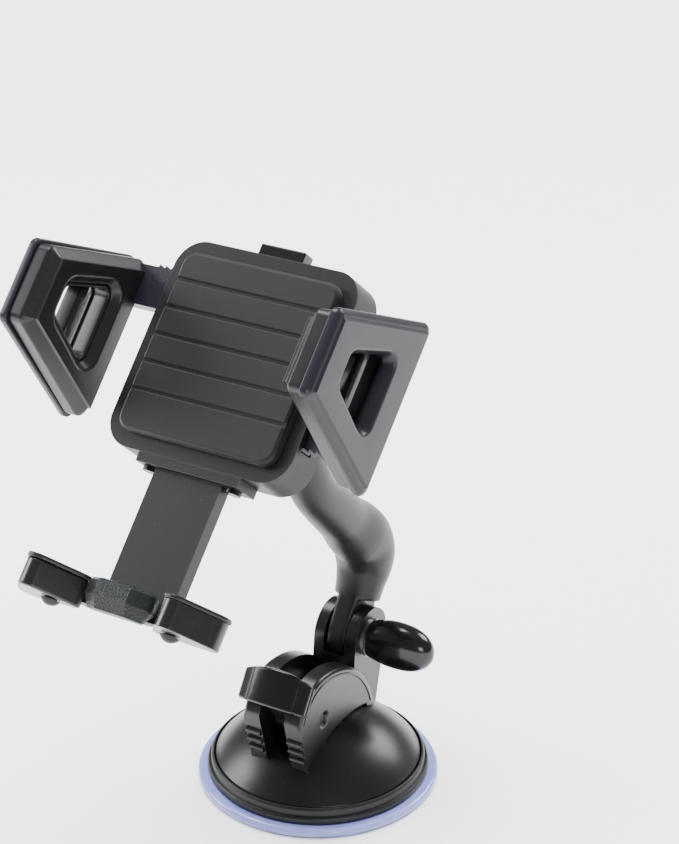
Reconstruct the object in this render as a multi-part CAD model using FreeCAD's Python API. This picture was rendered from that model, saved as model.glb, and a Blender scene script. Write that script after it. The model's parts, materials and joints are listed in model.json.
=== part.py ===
# Car phone mount: gel suction base with a lock lever, hinged elbow arm, ball joint and a
# cradle whose two side jaws close together on a rack and pinion, with two swivel feet below.
# Millimetres. +Z is up, the origin is the centre of the gel pad's underside, -Y faces the driver.
# The cradle is drawn in its own frame (x right, y up, z out of the screen, origin at the ball's
# centre) and placed at the end.
import FreeCAD
import Part
import math
import os
from FreeCAD import Vector

# ---------------------------------------------------------------- base
fit_gap = 0.05            # radial gap of a running or push fit
air_gap = 0.3             # gap between pieces that move past each other
dome_radius = 28.35       # drives the ring and the gel disc too
ring_radius = dome_radius + 2.3   # black ring on the gel, lower tier
ring_tier = 1.05          # step between the ring's two tiers
ring_lower_height = 2.3
ring_upper_height = 2.2
ring_bore = dome_radius - 2.35
gel_radius = ring_radius + 2.65
gel_height = 2.4
gel_edge_round = 0.8
dome_rim_height = 2.4
dome_rise = 13.3
dome_wall = 1.8
stem_radius = 2.6
stem_plate_radius = 16.0
stem_plate_height = 1.7
stem_spring_radius = 5.0
stem_spring_wire = 0.5
stem_spring_turns = 4
wire_sides = 8            # the springs' wire is drawn eight-sided

# ---------------------------------------------------------------- tower and lock lever
cheek_inner = 3.9         # half the gap between the two cheeks
cheek_thickness = 5.1
cheek_front_radius = 13.2  # the cheeks' front edge runs round the lever pin
cheek_front_deg = 17.0     # where that edge starts, above the pin's level
cheek_top_deg = 97.0       # and where it ends
cheek_toe_back = 4.6       # how far the front edge slopes back below it
cheek_back_y = 15.4
cheek_back_z = 18.2
cheek_foot_z = 12.0       # the cheeks are drawn down to here and cut to the dome
cheek_spine_bulge = 5.2
rib_radius = 0.95
rib_count = 3
rib_pitch = 3.1
rib_first_z = 17.6
lever_pin_y = -11.8
lever_pin_z = 26.0
lever_pin_radius = 1.5
lever_hub_radius = 5.0
lever_half_width = 3.5
tab_rise_deg = 49.0       # direction from the pin to the middle of the tab
tab_lean_deg = 34.5
tab_radius = 22.0
tab_thickness = 2.2
tab_half_deg = 30.0
tab_height = 10.4
tab_groove_x = 7.3
tab_groove_width = 0.8
crosspin_radius = 1.2
tower_screw_radius = 1.1
tower_screw_front_y = -11.0
tower_screw_back_y = 5.0
tower_screw_cover = 1.2   # wall between a screw's head and the dome's inner face
screw_head_radius = 2.1
screw_head_height = 1.3

# ---------------------------------------------------------------- knuckle, knob and arm
hinge_y = 17.3
hinge_z = 36.0
knuckle_radius = 8.5
tongue_half = 3.0         # half the arm tongue's thickness
right_ear = 3.5
left_ear = 3.1
bolt_radius = 2.0
hex_flats = 7.0
nut_height = 2.4
washer_height = 0.5
washer_radius = 5.4
knob_hub_radius = 5.2
knob_length = 19.2
knob_half_width = 6.9
knob_flatness = 0.76
elbow_y = 28.0
elbow_z = 58.5
upper_bend_y = -2.0
upper_bend_z = 90.0
elbow_bend_radius = 11.5
upper_bend_radius = 40.0
arm_root_radius = 6.6
arm_elbow_radius = 8.8
elbow_swell = (0.93, 1.0, 1.0, 0.95)   # share of that radius at four sections round the elbow
arm_upper_radius = 6.5
arm_tip_radius = 5.6
ball_y = -22.0
ball_z = 130.4
ball_radius = 8.5
stud_radius = 3.6
stud_clear = 15.0         # ball centre to the end of the arm
stud_shank_radius = 3.0
stud_shank_length = 10.0

# ---------------------------------------------------------------- cradle, in its own frame
cradle_yaw = -9.65
cradle_tilt = 44.17
cradle_spin = 5.9
liner_wall = 1.0
liner_half_deg = 62.0
seat_radius = ball_radius + 2.8
seat_lip = 4.0
seat_top = ball_radius + 0.1
socket_floor = ball_radius + 1.5
socket_wall = 1.5
nut_wall = 2.65
nut_top = 3.5
nut_lip_height = 2.15
nut_flute_count = 12
case_half_width = 28.5
case_top = 27.0
case_bottom = 30.0
case_corner = 8.0
case_wall = 1.8
case_floor = ball_radius + 3.1   # the housing's layers are measured outwards from the ball
case_back = case_floor - 2.2
bar_back = case_floor + 2.0      # the racks' layer
bar_thickness = 4.0
case_split = bar_back + bar_thickness + air_gap
front_cover_height = 1.8
back_pad_height = 2.8
back_pad_margin = 4.0
boss_radius = 2.6
case_screw_radius = 1.1
pinion_teeth = 12
gear_module = 1.0
tooth_share = 0.42        # tooth width at the pitch line as a share of the pitch
tooth_slope_deg = 20.0
addendum = 0.8 * gear_module
dedendum = 1.2 * gear_module
pinion_axle_radius = 1.5
bar_outer = 18.2          # the rack bar's plain edge, from the pinion's axis
bar_inner_end = 17.5
ratchet_pitch = 2.0
ratchet_depth = 0.8
jaw_inner = 37.8          # half the phone's width
jaw_pad_width = 7.4
jaw_shell_width = 3.6
jaw_bevel = 2.1
jaw_back = case_floor + 1.4
jaw_front = 53.0
jaw_back_half = 22.9
jaw_front_half = 11.8
jaw_corner = 3.5
jaw_drop = 2.8            # the jaws reach this much further down than up
jaw_pad_inset = 0.8
window_back = 25.0
window_front = 41.5
window_back_half = 9.2
window_front_half = 4.4
window_corner = 2.0
jaw_flange = 2.0
jaw_screw_radius = 1.0
jaw_screw_head = 1.7
pawl_back = case_floor + air_gap
pawl_thickness = 1.3
pawl_half_width = 12.0
pawl_rail = 2.8
pawl_frame_top = 24.5
pawl_tooth_x = 2.0
release_spring_x = 3.4
button_half_width = 7.0
button_foot = 21.6
button_proud = 3.5
neck_half_width = 10.5
neck_back = case_floor + 2.4
neck_thickness = 4.0
bracket_flange = 2.6
foot_top = 64.5           # below the ball, where the phone stands
foot_pad_height = 1.2
foot_body_height = 7.3
foot_pad_grow = 0.4
foot_pivot_x = 18.8
foot_pivot_z = 26.2
foot_screw_radius = 1.4
foot_screw_head = 3.0
shelf_depth = 3.6         # from the feet's top to the shelf's top
shelf_thickness = 2.6
rail_front = foot_pivot_z - 6.9   # front edge of the shelf's cross rail
foot_arm_radius = 2.8     # the arms from the rail to the feet's pivots
foot_turn_in = 9.0        # the feet's slots clear the arms over this much turn
foot_turn_out = 23.0
centre_pad_height = 10.0
centre_pad_back = 4.0     # how far the pad sits behind the feet's pivots

# ---------------------------------------------------------------- sizes that follow from those above
ledge = gel_height + ring_lower_height
ring_top = ledge + ring_upper_height
dome_spring = ledge + dome_rim_height
dome_top = dome_spring + dome_rise
plate_top = gel_height + air_gap + stem_plate_height
shell_radius = ball_radius + fit_gap + liner_wall
boss_outer = seat_radius + fit_gap + socket_wall
pitch = math.pi * gear_module
pitch_radius = gear_module * pinion_teeth / 2
bar_tip = pitch_radius - addendum
bar_root = pitch_radius + dedendum
flange_screw_x = neck_half_width + 2.5
flange_outer = bar_outer - 2.6   # the rack arms' flanges, inside the jaws' tapering outline
flange_top = window_back - 1.5
foot_low = foot_top + foot_pad_height + foot_body_height
shelf_top = foot_top + shelf_depth
shelf_low = shelf_top + shelf_thickness

EPS = 1.0                 # overshoot of a cutting tool past a face

nodes = {}


# ---------------------------------------------------------------- helpers
def tube(radius, low, high, bore=0.0):
    """Upright cylinder about Z, with an optional bore."""
    solid = Part.makeCylinder(radius, high - low, Vector(0, 0, low))
    if bore > 0:
        solid = solid.cut(Part.makeCylinder(bore, high - low + 2 * EPS, Vector(0, 0, low - EPS)))
    return solid


def rod_x(radius, y, z, x_low, x_high):
    """Cylinder along X."""
    return Part.makeCylinder(radius, x_high - x_low, Vector(x_low, y, z), Vector(1, 0, 0))


def block(x_low, x_high, y_low, y_high, z_low, z_high):
    size = (x_high - x_low, y_high - y_low, z_high - z_low)
    return Part.makeBox(size[0], size[1], size[2], Vector(x_low, y_low, z_low))


def revolve(points):
    """Solid of revolution about Z from (radius, height) corners."""
    corners = [Vector(r, 0, z) for r, z in points]
    face = Part.Face(Part.makePolygon(corners + [corners[0]]))
    return face.revolve(Vector(0, 0, 0), Vector(0, 0, 1), 360)


def belt(circles, grow=0.0):
    """Closed outline of a belt pulled round circles (x, y, radius), listed anticlockwise."""
    grown = [(x, y, r + grow) for x, y, r in circles]
    starts = []
    ends = []
    for index, (x0, y0, r0) in enumerate(grown):
        x1, y1, r1 = grown[(index + 1) % len(grown)]
        distance = math.hypot(x1 - x0, y1 - y0)
        heading = math.atan2(y1 - y0, x1 - x0)
        normal = heading - math.pi / 2 + math.asin((r1 - r0) / distance) * -1
        leave = Vector(x0 + r0 * math.cos(normal), y0 + r0 * math.sin(normal), 0)
        arrive = Vector(x1 + r1 * math.cos(normal), y1 + r1 * math.sin(normal), 0)
        starts.append((leave, normal))
        ends.append((arrive, normal))
    edges = []
    for index in range(len(grown)):
        x, y, r = grown[index]
        arrive, angle_in = ends[index - 1]
        leave, angle_out = starts[index]
        while angle_out < angle_in:
            angle_out += 2 * math.pi
        middle = (angle_in + angle_out) / 2
        crown = Vector(x + r * math.cos(middle), y + r * math.sin(middle), 0)
        edges.append(Part.Arc(arrive, crown, leave).toShape())
        edges.append(Part.LineSegment(leave, ends[index][0]).toShape())
    return Part.Wire(edges)


def belt_block(circles, low, high, grow=0.0):
    """A belt outline raised from height low to height high."""
    face = Part.Face(belt(circles, grow))
    face.translate(Vector(0, 0, low))
    return face.extrude(Vector(0, 0, high - low))


def bevel(circles, low, high, grow_low, grow_high):
    """Sloping band between two belt outlines at two heights."""
    lower = belt(circles, grow_low)
    lower.translate(Vector(0, 0, low))
    upper = belt(circles, grow_high)
    upper.translate(Vector(0, 0, high))
    return Part.makeLoft([lower, upper], True, True)


def along_x(shape):
    """Turns a shape drawn as (y, z) outline, raised along X, into place."""
    matrix = FreeCAD.Matrix(0, 0, 1, 0, 1, 0, 0, 0, 0, 1, 0, 0, 0, 0, 0, 1)
    return shape.transformed(matrix)


def hexagon(flats, low, high):
    corner = flats / math.sqrt(3)
    points = []
    for index in range(7):
        angle = math.radians(60 * index)
        points.append(Vector(corner * math.cos(angle), corner * math.sin(angle), low))
    return Part.Face(Part.makePolygon(points)).extrude(Vector(0, 0, high - low))


def coil(radius, wire, turns, height):
    """Spring standing on Z = 0, with its wire inside the height."""
    run = height - 2 * wire
    helix = Part.makeHelix(run / turns, run, radius)
    corners = []
    for index in range(wire_sides + 1):
        angle = 2 * math.pi * index / wire_sides
        corners.append(Vector(radius + wire * math.cos(angle), 0, wire * math.sin(angle)))
    section = Part.makePolygon(corners)
    spring = Part.Wire(helix.Edges).makePipeShell([section], True, True)
    spring.translate(Vector(0, 0, wire))
    return spring


def is_circle_at(edge, radius, height):
    """True for a level circular edge of this radius at this height."""
    box = edge.BoundBox
    level = box.ZLength < 0.01 and abs(box.ZMin - height) < 0.01
    return level and abs(box.XLength / 2 - radius) < 0.01


def cap_radius(radius, rise):
    """Radius of the sphere through a rim of this radius and a top this much higher."""
    return (radius ** 2 + rise ** 2) / (2 * rise)


def dome_solid(radius, rise, low, spring_line):
    """Solid dome: a straight rim from low to the spring line, then part of a sphere."""
    sphere = cap_radius(radius, rise)
    middle = spring_line + rise - sphere + math.sqrt(sphere ** 2 - (radius / 2) ** 2)
    start = Vector(radius, 0, spring_line)
    cap = Part.Arc(start, Vector(radius / 2, 0, middle), Vector(0, 0, spring_line + rise))
    edges = [Part.LineSegment(Vector(0, 0, low), Vector(radius, 0, low)).toShape(),
             Part.LineSegment(Vector(radius, 0, low), Vector(radius, 0, spring_line)).toShape(),
             cap.toShape(),
             Part.LineSegment(Vector(0, 0, spring_line + rise), Vector(0, 0, low)).toShape()]
    return Part.Face(Part.Wire(edges)).revolve(Vector(0, 0, 0), Vector(0, 0, 1), 360)


# ---------------------------------------------------------------- suction base
def make_base():
    gel = tube(gel_radius, 0, gel_height)
    rim = [edge for edge in gel.Edges if is_circle_at(edge, gel_radius, gel_height)]
    nodes["gel_pad"] = gel.makeFillet(gel_edge_round, rim)

    upper_radius = ring_radius - ring_tier
    seat_bore = dome_radius + air_gap
    ring = revolve([(ring_bore, gel_height), (ring_radius, gel_height), (ring_radius, ledge),
                    (upper_radius, ledge), (upper_radius, ring_top), (seat_bore, ring_top),
                    (seat_bore, ledge), (ring_bore, ledge)])
    tiers = [edge for edge in ring.Edges if is_circle_at(edge, ring_radius, ledge)
             or is_circle_at(edge, upper_radius, ring_top)]
    nodes["cup_ring"] = ring.makeFillet(gel_edge_round, tiers)

    dome = dome_solid(dome_radius, dome_rise, ledge, dome_spring)
    dome = dome.cut(dome_solid(dome_radius - dome_wall, dome_rise - dome_wall, ledge - EPS, dome_spring))
    for x, y in tower_screw_places():
        boss = Part.makeCylinder(boss_radius, dome_top, Vector(x, y, tower_screw_seat()))
        dome = dome.fuse(boss.common(dome_solid(dome_radius - 0.01, dome_rise - 0.01, ledge, dome_spring)))
        dome = dome.cut(Part.makeCylinder(tower_screw_radius + fit_gap, dome_top, Vector(x, y, 0)))
    dome = dome.cut(tube(stem_radius + air_gap, ledge, dome_top + EPS))
    nodes["dome_cover"] = dome.removeSplitter()


def tower_screw_places():
    x = cheek_inner + cheek_thickness / 2
    return [(side * x, y) for side in (1, -1) for y in (tower_screw_front_y, tower_screw_back_y)]


def tower_screw_seat():
    """Height of the screws' seats, a little under the dome's inner face at the outermost screw."""
    reach = max(math.hypot(x, y) for x, y in tower_screw_places())
    sphere = cap_radius(dome_radius - dome_wall, dome_rise - dome_wall)
    return dome_top - dome_wall - sphere + math.sqrt(sphere ** 2 - reach ** 2) - tower_screw_cover


def make_stem():
    plate_low = gel_height + air_gap
    plate = tube(stem_plate_radius, plate_low, plate_top)
    post = tube(stem_radius, plate_top, lever_pin_z + crosspin_radius + 1.2)
    stem = plate.fuse(post)
    eye_half = 1.5
    for side in (-1, 1):
        x_low = eye_half if side > 0 else -stem_radius - EPS
        x_high = stem_radius + EPS if side > 0 else -eye_half
        stem = stem.cut(block(x_low, x_high, -5, 5, lever_pin_z - 4.4, lever_pin_z + 5))
    stem = stem.cut(rod_x(crosspin_radius, 0, lever_pin_z, -5, 5))
    nodes["pull_stem"] = stem.removeSplitter()
    nodes["stem_crosspin"] = rod_x(crosspin_radius, 0, lever_pin_z, -3.3, 3.3)
    spring_top = dome_top - dome_wall - 0.6
    spring = coil(stem_spring_radius, stem_spring_wire, stem_spring_turns, spring_top - plate_top)
    spring.translate(Vector(0, 0, plate_top))
    nodes["stem_spring"] = spring


# ---------------------------------------------------------------- tower
def cheek_edge(degrees):
    """Point (y, z) of the cheeks' round front edge, at an angle up from straight ahead."""
    angle = math.radians(degrees)
    y = lever_pin_y - cheek_front_radius * math.cos(angle)
    return Vector(y, lever_pin_z + cheek_front_radius * math.sin(angle), 0)


def cheek_outline():
    front = cheek_edge(cheek_front_deg)
    toe = Vector(front.x + cheek_toe_back, cheek_foot_z, 0)
    top = cheek_edge(cheek_top_deg)
    back = Vector(cheek_back_y, cheek_back_z, 0)
    heel = Vector(cheek_back_y, cheek_foot_z, 0)
    brow = cheek_edge((cheek_front_deg + cheek_top_deg) / 2)
    chord = back.sub(top)
    bulge = Vector(-chord.y, chord.x, 0).normalize().multiply(cheek_spine_bulge)
    spine = top.add(back).multiply(0.5).add(bulge)
    edges = [Part.LineSegment(toe, front).toShape(),
             Part.Arc(front, brow, top).toShape(),
             Part.Arc(top, spine, back).toShape(),
             Part.LineSegment(back, heel).toShape(),
             Part.LineSegment(heel, toe).toShape()]
    return Part.Face(Part.Wire(edges))


def make_tower():
    tower = None
    for side in (-1, 1):
        x_low = cheek_inner if side > 0 else -cheek_inner - cheek_thickness
        face = cheek_outline()
        face.translate(Vector(0, 0, x_low))
        cheek = along_x(face.extrude(Vector(0, 0, cheek_thickness)))
        front = cheek_edge(cheek_front_deg)
        lean = cheek_toe_back / (front.y - cheek_foot_z)
        for index in range(rib_count):
            z = rib_first_z + rib_pitch * index
            y = front.x + (front.y - z) * lean
            cheek = cheek.fuse(rod_x(rib_radius, y, z, x_low + 0.3, x_low + cheek_thickness - 0.3))
        tower = cheek if tower is None else tower.fuse(cheek)
    legs = [(hinge_y, hinge_z, knuckle_radius), (hinge_y - 6.6, 14, 4.0), (hinge_y - 1.5, 12, 4.0)]
    ear_left = -tongue_half - air_gap - left_ear
    ear_right = tongue_half + air_gap + right_ear
    tower = tower.fuse(along_x(belt_block(legs, ear_left, ear_right)))
    slot_radius = knuckle_radius + 0.7
    slot_half = tongue_half + air_gap
    slot = rod_x(slot_radius, hinge_y, hinge_z, -slot_half, slot_half)
    slot = slot.fuse(block(-slot_half, slot_half, hinge_y - slot_radius, hinge_y + slot_radius,
                           hinge_z, hinge_z + 20))
    slot = slot.fuse(block(-slot_half, slot_half, hinge_y, hinge_y + slot_radius + EPS,
                           hinge_z - slot_radius + 2.0, hinge_z + EPS))
    tower = tower.cut(slot)
    tower = tower.cut(rod_x(bolt_radius + fit_gap, hinge_y, hinge_z, -30, 30))
    nut_tool = hexagon(hex_flats + 2 * fit_gap, -nut_height, 0)
    nut_tool.rotate(Vector(0, 0, 0), Vector(0, 1, 0), 90)
    nut_tool.translate(Vector(ear_left + nut_height - 0.4, hinge_y, hinge_z))
    tower = tower.cut(nut_tool)
    tower = tower.cut(rod_x(lever_pin_radius, lever_pin_y, lever_pin_z, -30, 30))
    tower = tower.cut(dome_solid(dome_radius, dome_rise, ledge - 10, dome_spring))
    for x, y in tower_screw_places():
        tower = tower.cut(Part.makeCylinder(tower_screw_radius, 12, Vector(x, y, 12)))
    nodes["tower"] = tower.removeSplitter()

    screws = []
    for x, y in tower_screw_places():
        seat = tower_screw_seat()
        head = Part.makeCylinder(screw_head_radius, screw_head_height, Vector(x, y, seat - screw_head_height))
        screws.append(head.fuse(Part.makeCylinder(tower_screw_radius, 24 - seat, Vector(x, y, seat))))
    nodes["tower_screws"] = Part.makeCompound(screws)

    pin_half = cheek_inner + cheek_thickness - 0.8
    nodes["lever_pin"] = rod_x(lever_pin_radius, lever_pin_y, lever_pin_z, -pin_half, pin_half)

    nut = hexagon(hex_flats, -nut_height, 0).cut(tube(bolt_radius + fit_gap, -nut_height - EPS, EPS))
    nut.rotate(Vector(0, 0, 0), Vector(0, 1, 0), 90)
    nut.translate(Vector(ear_left + nut_height - 0.4, hinge_y, hinge_z))
    nodes["hinge_nut"] = nut
    washer = tube(washer_radius, 0, washer_height, bolt_radius + fit_gap)
    washer.rotate(Vector(0, 0, 0), Vector(0, 1, 0), 90)
    washer.translate(Vector(ear_right, hinge_y, hinge_z))
    nodes["hinge_washer"] = washer


# ---------------------------------------------------------------- lock lever
def tab_sag(x):
    """How far the bowed tab's face falls back at a distance x from the middle."""
    return tab_radius - math.sqrt(tab_radius ** 2 - x ** 2)


def make_lever():
    rise = math.radians(tab_rise_deg)
    lean = math.radians(tab_lean_deg)
    clear = cheek_front_radius + air_gap + tab_thickness + tab_sag(cheek_inner + cheek_thickness) + 0.2
    reach = clear / math.cos(rise - lean)
    tab_y = lever_pin_y - reach * math.cos(rise)
    tab_z = lever_pin_z + reach * math.sin(rise)
    neck_tip = 2.4
    neck_reach = (clear - tab_sag(lever_half_width) - neck_tip - 0.5) / math.cos(rise - lean)
    neck = [(lever_pin_y, lever_pin_z, lever_hub_radius - 0.6),
            (lever_pin_y - neck_reach * math.cos(rise), lever_pin_z + neck_reach * math.sin(rise),
             neck_tip)]
    tail = [(lever_pin_y, lever_pin_z, lever_hub_radius - 1.4), (0.4, lever_pin_z, 3.2)]
    hub = rod_x(lever_hub_radius, lever_pin_y, lever_pin_z, -lever_half_width, lever_half_width)
    lever = hub.fuse(along_x(belt_block(neck, -lever_half_width + 0.4, lever_half_width - 0.4)))
    lever = lever.fuse(along_x(belt_block(tail, -lever_half_width, lever_half_width)))
    lever = lever.cut(block(-1.9, 1.9, -4.2, 10, lever_pin_z - 10, lever_pin_z + 10))
    slot = [(-0.6, lever_pin_z, crosspin_radius + air_gap), (1.2, lever_pin_z, crosspin_radius + air_gap)]
    lever = lever.cut(along_x(belt_block(slot, -10, 10)))
    lever = lever.cut(rod_x(lever_pin_radius + fit_gap, lever_pin_y, lever_pin_z, -10, 10))

    half = math.radians(tab_half_deg)
    inner = tab_radius - tab_thickness

    def bow(radius, angle):
        return Vector(radius * math.sin(angle), tab_radius - radius * math.cos(angle), 0)

    edges = [Part.Arc(bow(tab_radius, -half), bow(tab_radius, 0), bow(tab_radius, half)).toShape(),
             Part.LineSegment(bow(tab_radius, half), bow(inner, half)).toShape(),
             Part.Arc(bow(inner, half), bow(inner, 0), bow(inner, -half)).toShape(),
             Part.LineSegment(bow(inner, -half), bow(tab_radius, -half)).toShape()]
    tab = Part.Face(Part.Wire(edges)).extrude(Vector(0, 0, tab_height))
    tab.translate(Vector(0, 0, -tab_height / 2))
    for side in (-1, 1):
        x = side * tab_groove_x
        tab = tab.cut(block(x - tab_groove_width / 2, x + tab_groove_width / 2, -EPS, tab_sag(x) + 0.7,
                            -tab_height, tab_height))
    tab = tab.removeSplitter()
    tab.rotate(Vector(0, 0, 0), Vector(1, 0, 0), -tab_lean_deg)
    tab.translate(Vector(0, tab_y, tab_z))
    nodes["lock_lever"] = lever.cut(tab).removeSplitter()
    nodes["lever_tab"] = tab


# ---------------------------------------------------------------- knob and its bolt
def make_knob():
    seat = tongue_half + air_gap + right_ear + washer_height
    shank_start = -(tongue_half + air_gap + left_ear) - 0.5
    hub = Part.makeCylinder(knob_hub_radius, 4.0, Vector(0, 0, 0))
    half_length = (knob_length - 1.4) / 2
    egg = Part.makeSphere(knob_half_width)
    stretch = FreeCAD.Matrix()
    stretch.A11 = 1.0
    stretch.A22 = knob_flatness
    stretch.A33 = half_length / knob_half_width
    egg = egg.transformGeometry(stretch)
    egg.translate(Vector(0, 0, 1.4 + half_length))
    knob = hub.fuse(egg)
    knob = knob.cut(Part.makeCylinder(bolt_radius, 7.0, Vector(0, 0, -EPS)))
    knob = knob.cut(hexagon(hex_flats, 6.0, 8.8))
    bolt = Part.makeCylinder(bolt_radius, seat - shank_start + 6.0, Vector(0, 0, shank_start - seat))
    bolt = bolt.fuse(hexagon(hex_flats, 6.0, 8.8))
    for name, solid in (("wing_knob", knob), ("hinge_bolt", bolt)):
        solid.rotate(Vector(0, 0, 0), Vector(0, 1, 0), 90)
        solid.translate(Vector(seat, hinge_y, hinge_z))
        nodes[name] = solid


# ---------------------------------------------------------------- arm
def arm_path():
    """Centre line legs of the arm from the hinge to the ball, in the plane X = 0."""
    return [(hinge_y, hinge_z), (elbow_y, elbow_z), (upper_bend_y, upper_bend_z), (ball_y, ball_z)]


def unit(from_point, to_point):
    length = math.dist(from_point, to_point)
    return ((to_point[0] - from_point[0]) / length, (to_point[1] - from_point[1]) / length)


def bend_stations(before, corner, after, radius, count):
    """Points and directions round an arc that rounds one corner of the path."""
    heading_in = math.atan2(corner[1] - before[1], corner[0] - before[0])
    heading_out = math.atan2(after[1] - corner[1], after[0] - corner[0])
    turn = (heading_out - heading_in + math.pi) % (2 * math.pi) - math.pi
    side = 1 if turn > 0 else -1
    setback = radius * math.tan(abs(turn) / 2)
    y = corner[0] - setback * math.cos(heading_in)
    z = corner[1] - setback * math.sin(heading_in)
    centre = (y - side * radius * math.sin(heading_in), z + side * radius * math.cos(heading_in))
    stations = []
    for index in range(count):
        heading = heading_in + turn * index / (count - 1)
        stations.append((centre[0] + side * radius * math.sin(heading),
                         centre[1] - side * radius * math.cos(heading), heading))
    return stations


def ring_at(y, z, heading, radius):
    direction = Vector(0, math.cos(heading), math.sin(heading))
    return Part.Wire(Part.makeCircle(radius, Vector(0, y, z), direction))


def make_arm():
    path = arm_path()
    lower = unit(path[0], path[1])
    stud = unit(path[2], path[3])
    root = (path[0][0] + lower[0] * (knuckle_radius + 1.0), path[0][1] + lower[1] * (knuckle_radius + 1.0))
    tip = (path[3][0] - stud[0] * stud_clear, path[3][1] - stud[1] * stud_clear)
    elbow = bend_stations(path[0], path[1], path[2], elbow_bend_radius, 4)
    upper = bend_stations(path[1], path[2], path[3], upper_bend_radius, 3)
    rings = [ring_at(root[0], root[1], math.atan2(lower[1], lower[0]), arm_root_radius)]
    for index, (y, z, heading) in enumerate(elbow):
        rings.append(ring_at(y, z, heading, arm_elbow_radius * elbow_swell[index]))
    for y, z, heading in upper:
        rings.append(ring_at(y, z, heading, arm_upper_radius))
    rings.append(ring_at(tip[0], tip[1], math.atan2(stud[1], stud[0]), arm_tip_radius))
    limb = Part.makeLoft(rings, True, False)

    far = (root[0] + lower[0] * 3, root[1] + lower[1] * 3)
    tongue = [(hinge_y, hinge_z, knuckle_radius - 0.3), (far[0], far[1], knuckle_radius - 2.6)]
    arm = limb.fuse(along_x(belt_block(tongue, -tongue_half, tongue_half)))
    arm = arm.cut(rod_x(bolt_radius + fit_gap, hinge_y, hinge_z, -10, 10))
    start = Vector(0, tip[0], tip[1])
    back = Vector(0, -stud[0], -stud[1])
    arm = arm.cut(Part.makeCylinder(stud_shank_radius + fit_gap, stud_shank_length + 0.2, start, back))
    nodes["arm"] = arm.removeSplitter()

    ball = Part.makeSphere(ball_radius, Vector(0, ball_y, ball_z))
    neck = Part.makeCylinder(stud_radius, stud_clear, Vector(0, ball_y, ball_z), back)
    shank = Part.makeCylinder(stud_shank_radius, stud_shank_length, start, back)
    nodes["ball_stud"] = ball.fuse(neck).fuse(shank).removeSplitter()


# ---------------------------------------------------------------- ball socket
def make_socket_pieces(place):
    edge = shell_radius * math.cos(math.radians(liner_half_deg))
    liner = Part.makeSphere(shell_radius).cut(Part.makeSphere(ball_radius + fit_gap))
    liner = liner.common(block(-20, 20, -20, 20, edge, 20))
    place("ball_liner", liner)

    seat = tube(seat_radius, -seat_lip, seat_top)
    pocket = Part.makeSphere(shell_radius + fit_gap).common(block(-20, 20, -20, 20, 0.3, 20))
    seat = seat.cut(Part.makeSphere(ball_radius + fit_gap)).cut(pocket)
    place("seat_ring", seat)

    low = -seat_lip - fit_gap - nut_lip_height
    outer = boss_outer + fit_gap + nut_wall
    mouth = seat_radius - 2.4
    nut = revolve([(mouth, low), (outer - 0.8, low), (outer, low + 0.8), (outer, nut_top - 0.8),
                   (outer - 0.8, nut_top), (boss_outer + fit_gap, nut_top),
                   (boss_outer + fit_gap, -seat_lip + 0.6), (seat_radius + 0.3, -seat_lip + 0.6),
                   (seat_radius + 0.3, -seat_lip - fit_gap), (mouth, -seat_lip - fit_gap)])
    for index in range(nut_flute_count):
        angle = math.radians(360 / nut_flute_count * index)
        reach = outer + 1.2
        flute = tube(2.0, low - EPS, nut_top + EPS)
        flute.translate(Vector(reach * math.cos(angle), reach * math.sin(angle), 0))
        nut = nut.cut(flute)
    place("lock_nut", nut)


# ---------------------------------------------------------------- cradle housing
def case_circles():
    x = case_half_width - case_corner
    top = case_top - case_corner
    bottom = -case_bottom + case_corner
    return [(-x, bottom, case_corner), (x, bottom, case_corner),
            (x, top, case_corner), (-x, top, case_corner)]


def case_screw_places():
    x = case_half_width - case_wall - boss_radius - 0.6
    top = case_top - case_wall - boss_radius - 0.2
    bottom = -case_bottom + case_wall + boss_radius + 0.2
    return [(-x, bottom), (x, bottom), (x, top), (-x, top)]


def half_turn(shape):
    turned = shape.copy()
    turned.rotate(Vector(0, 0, 0), Vector(0, 0, 1), 180)
    return turned


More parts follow.
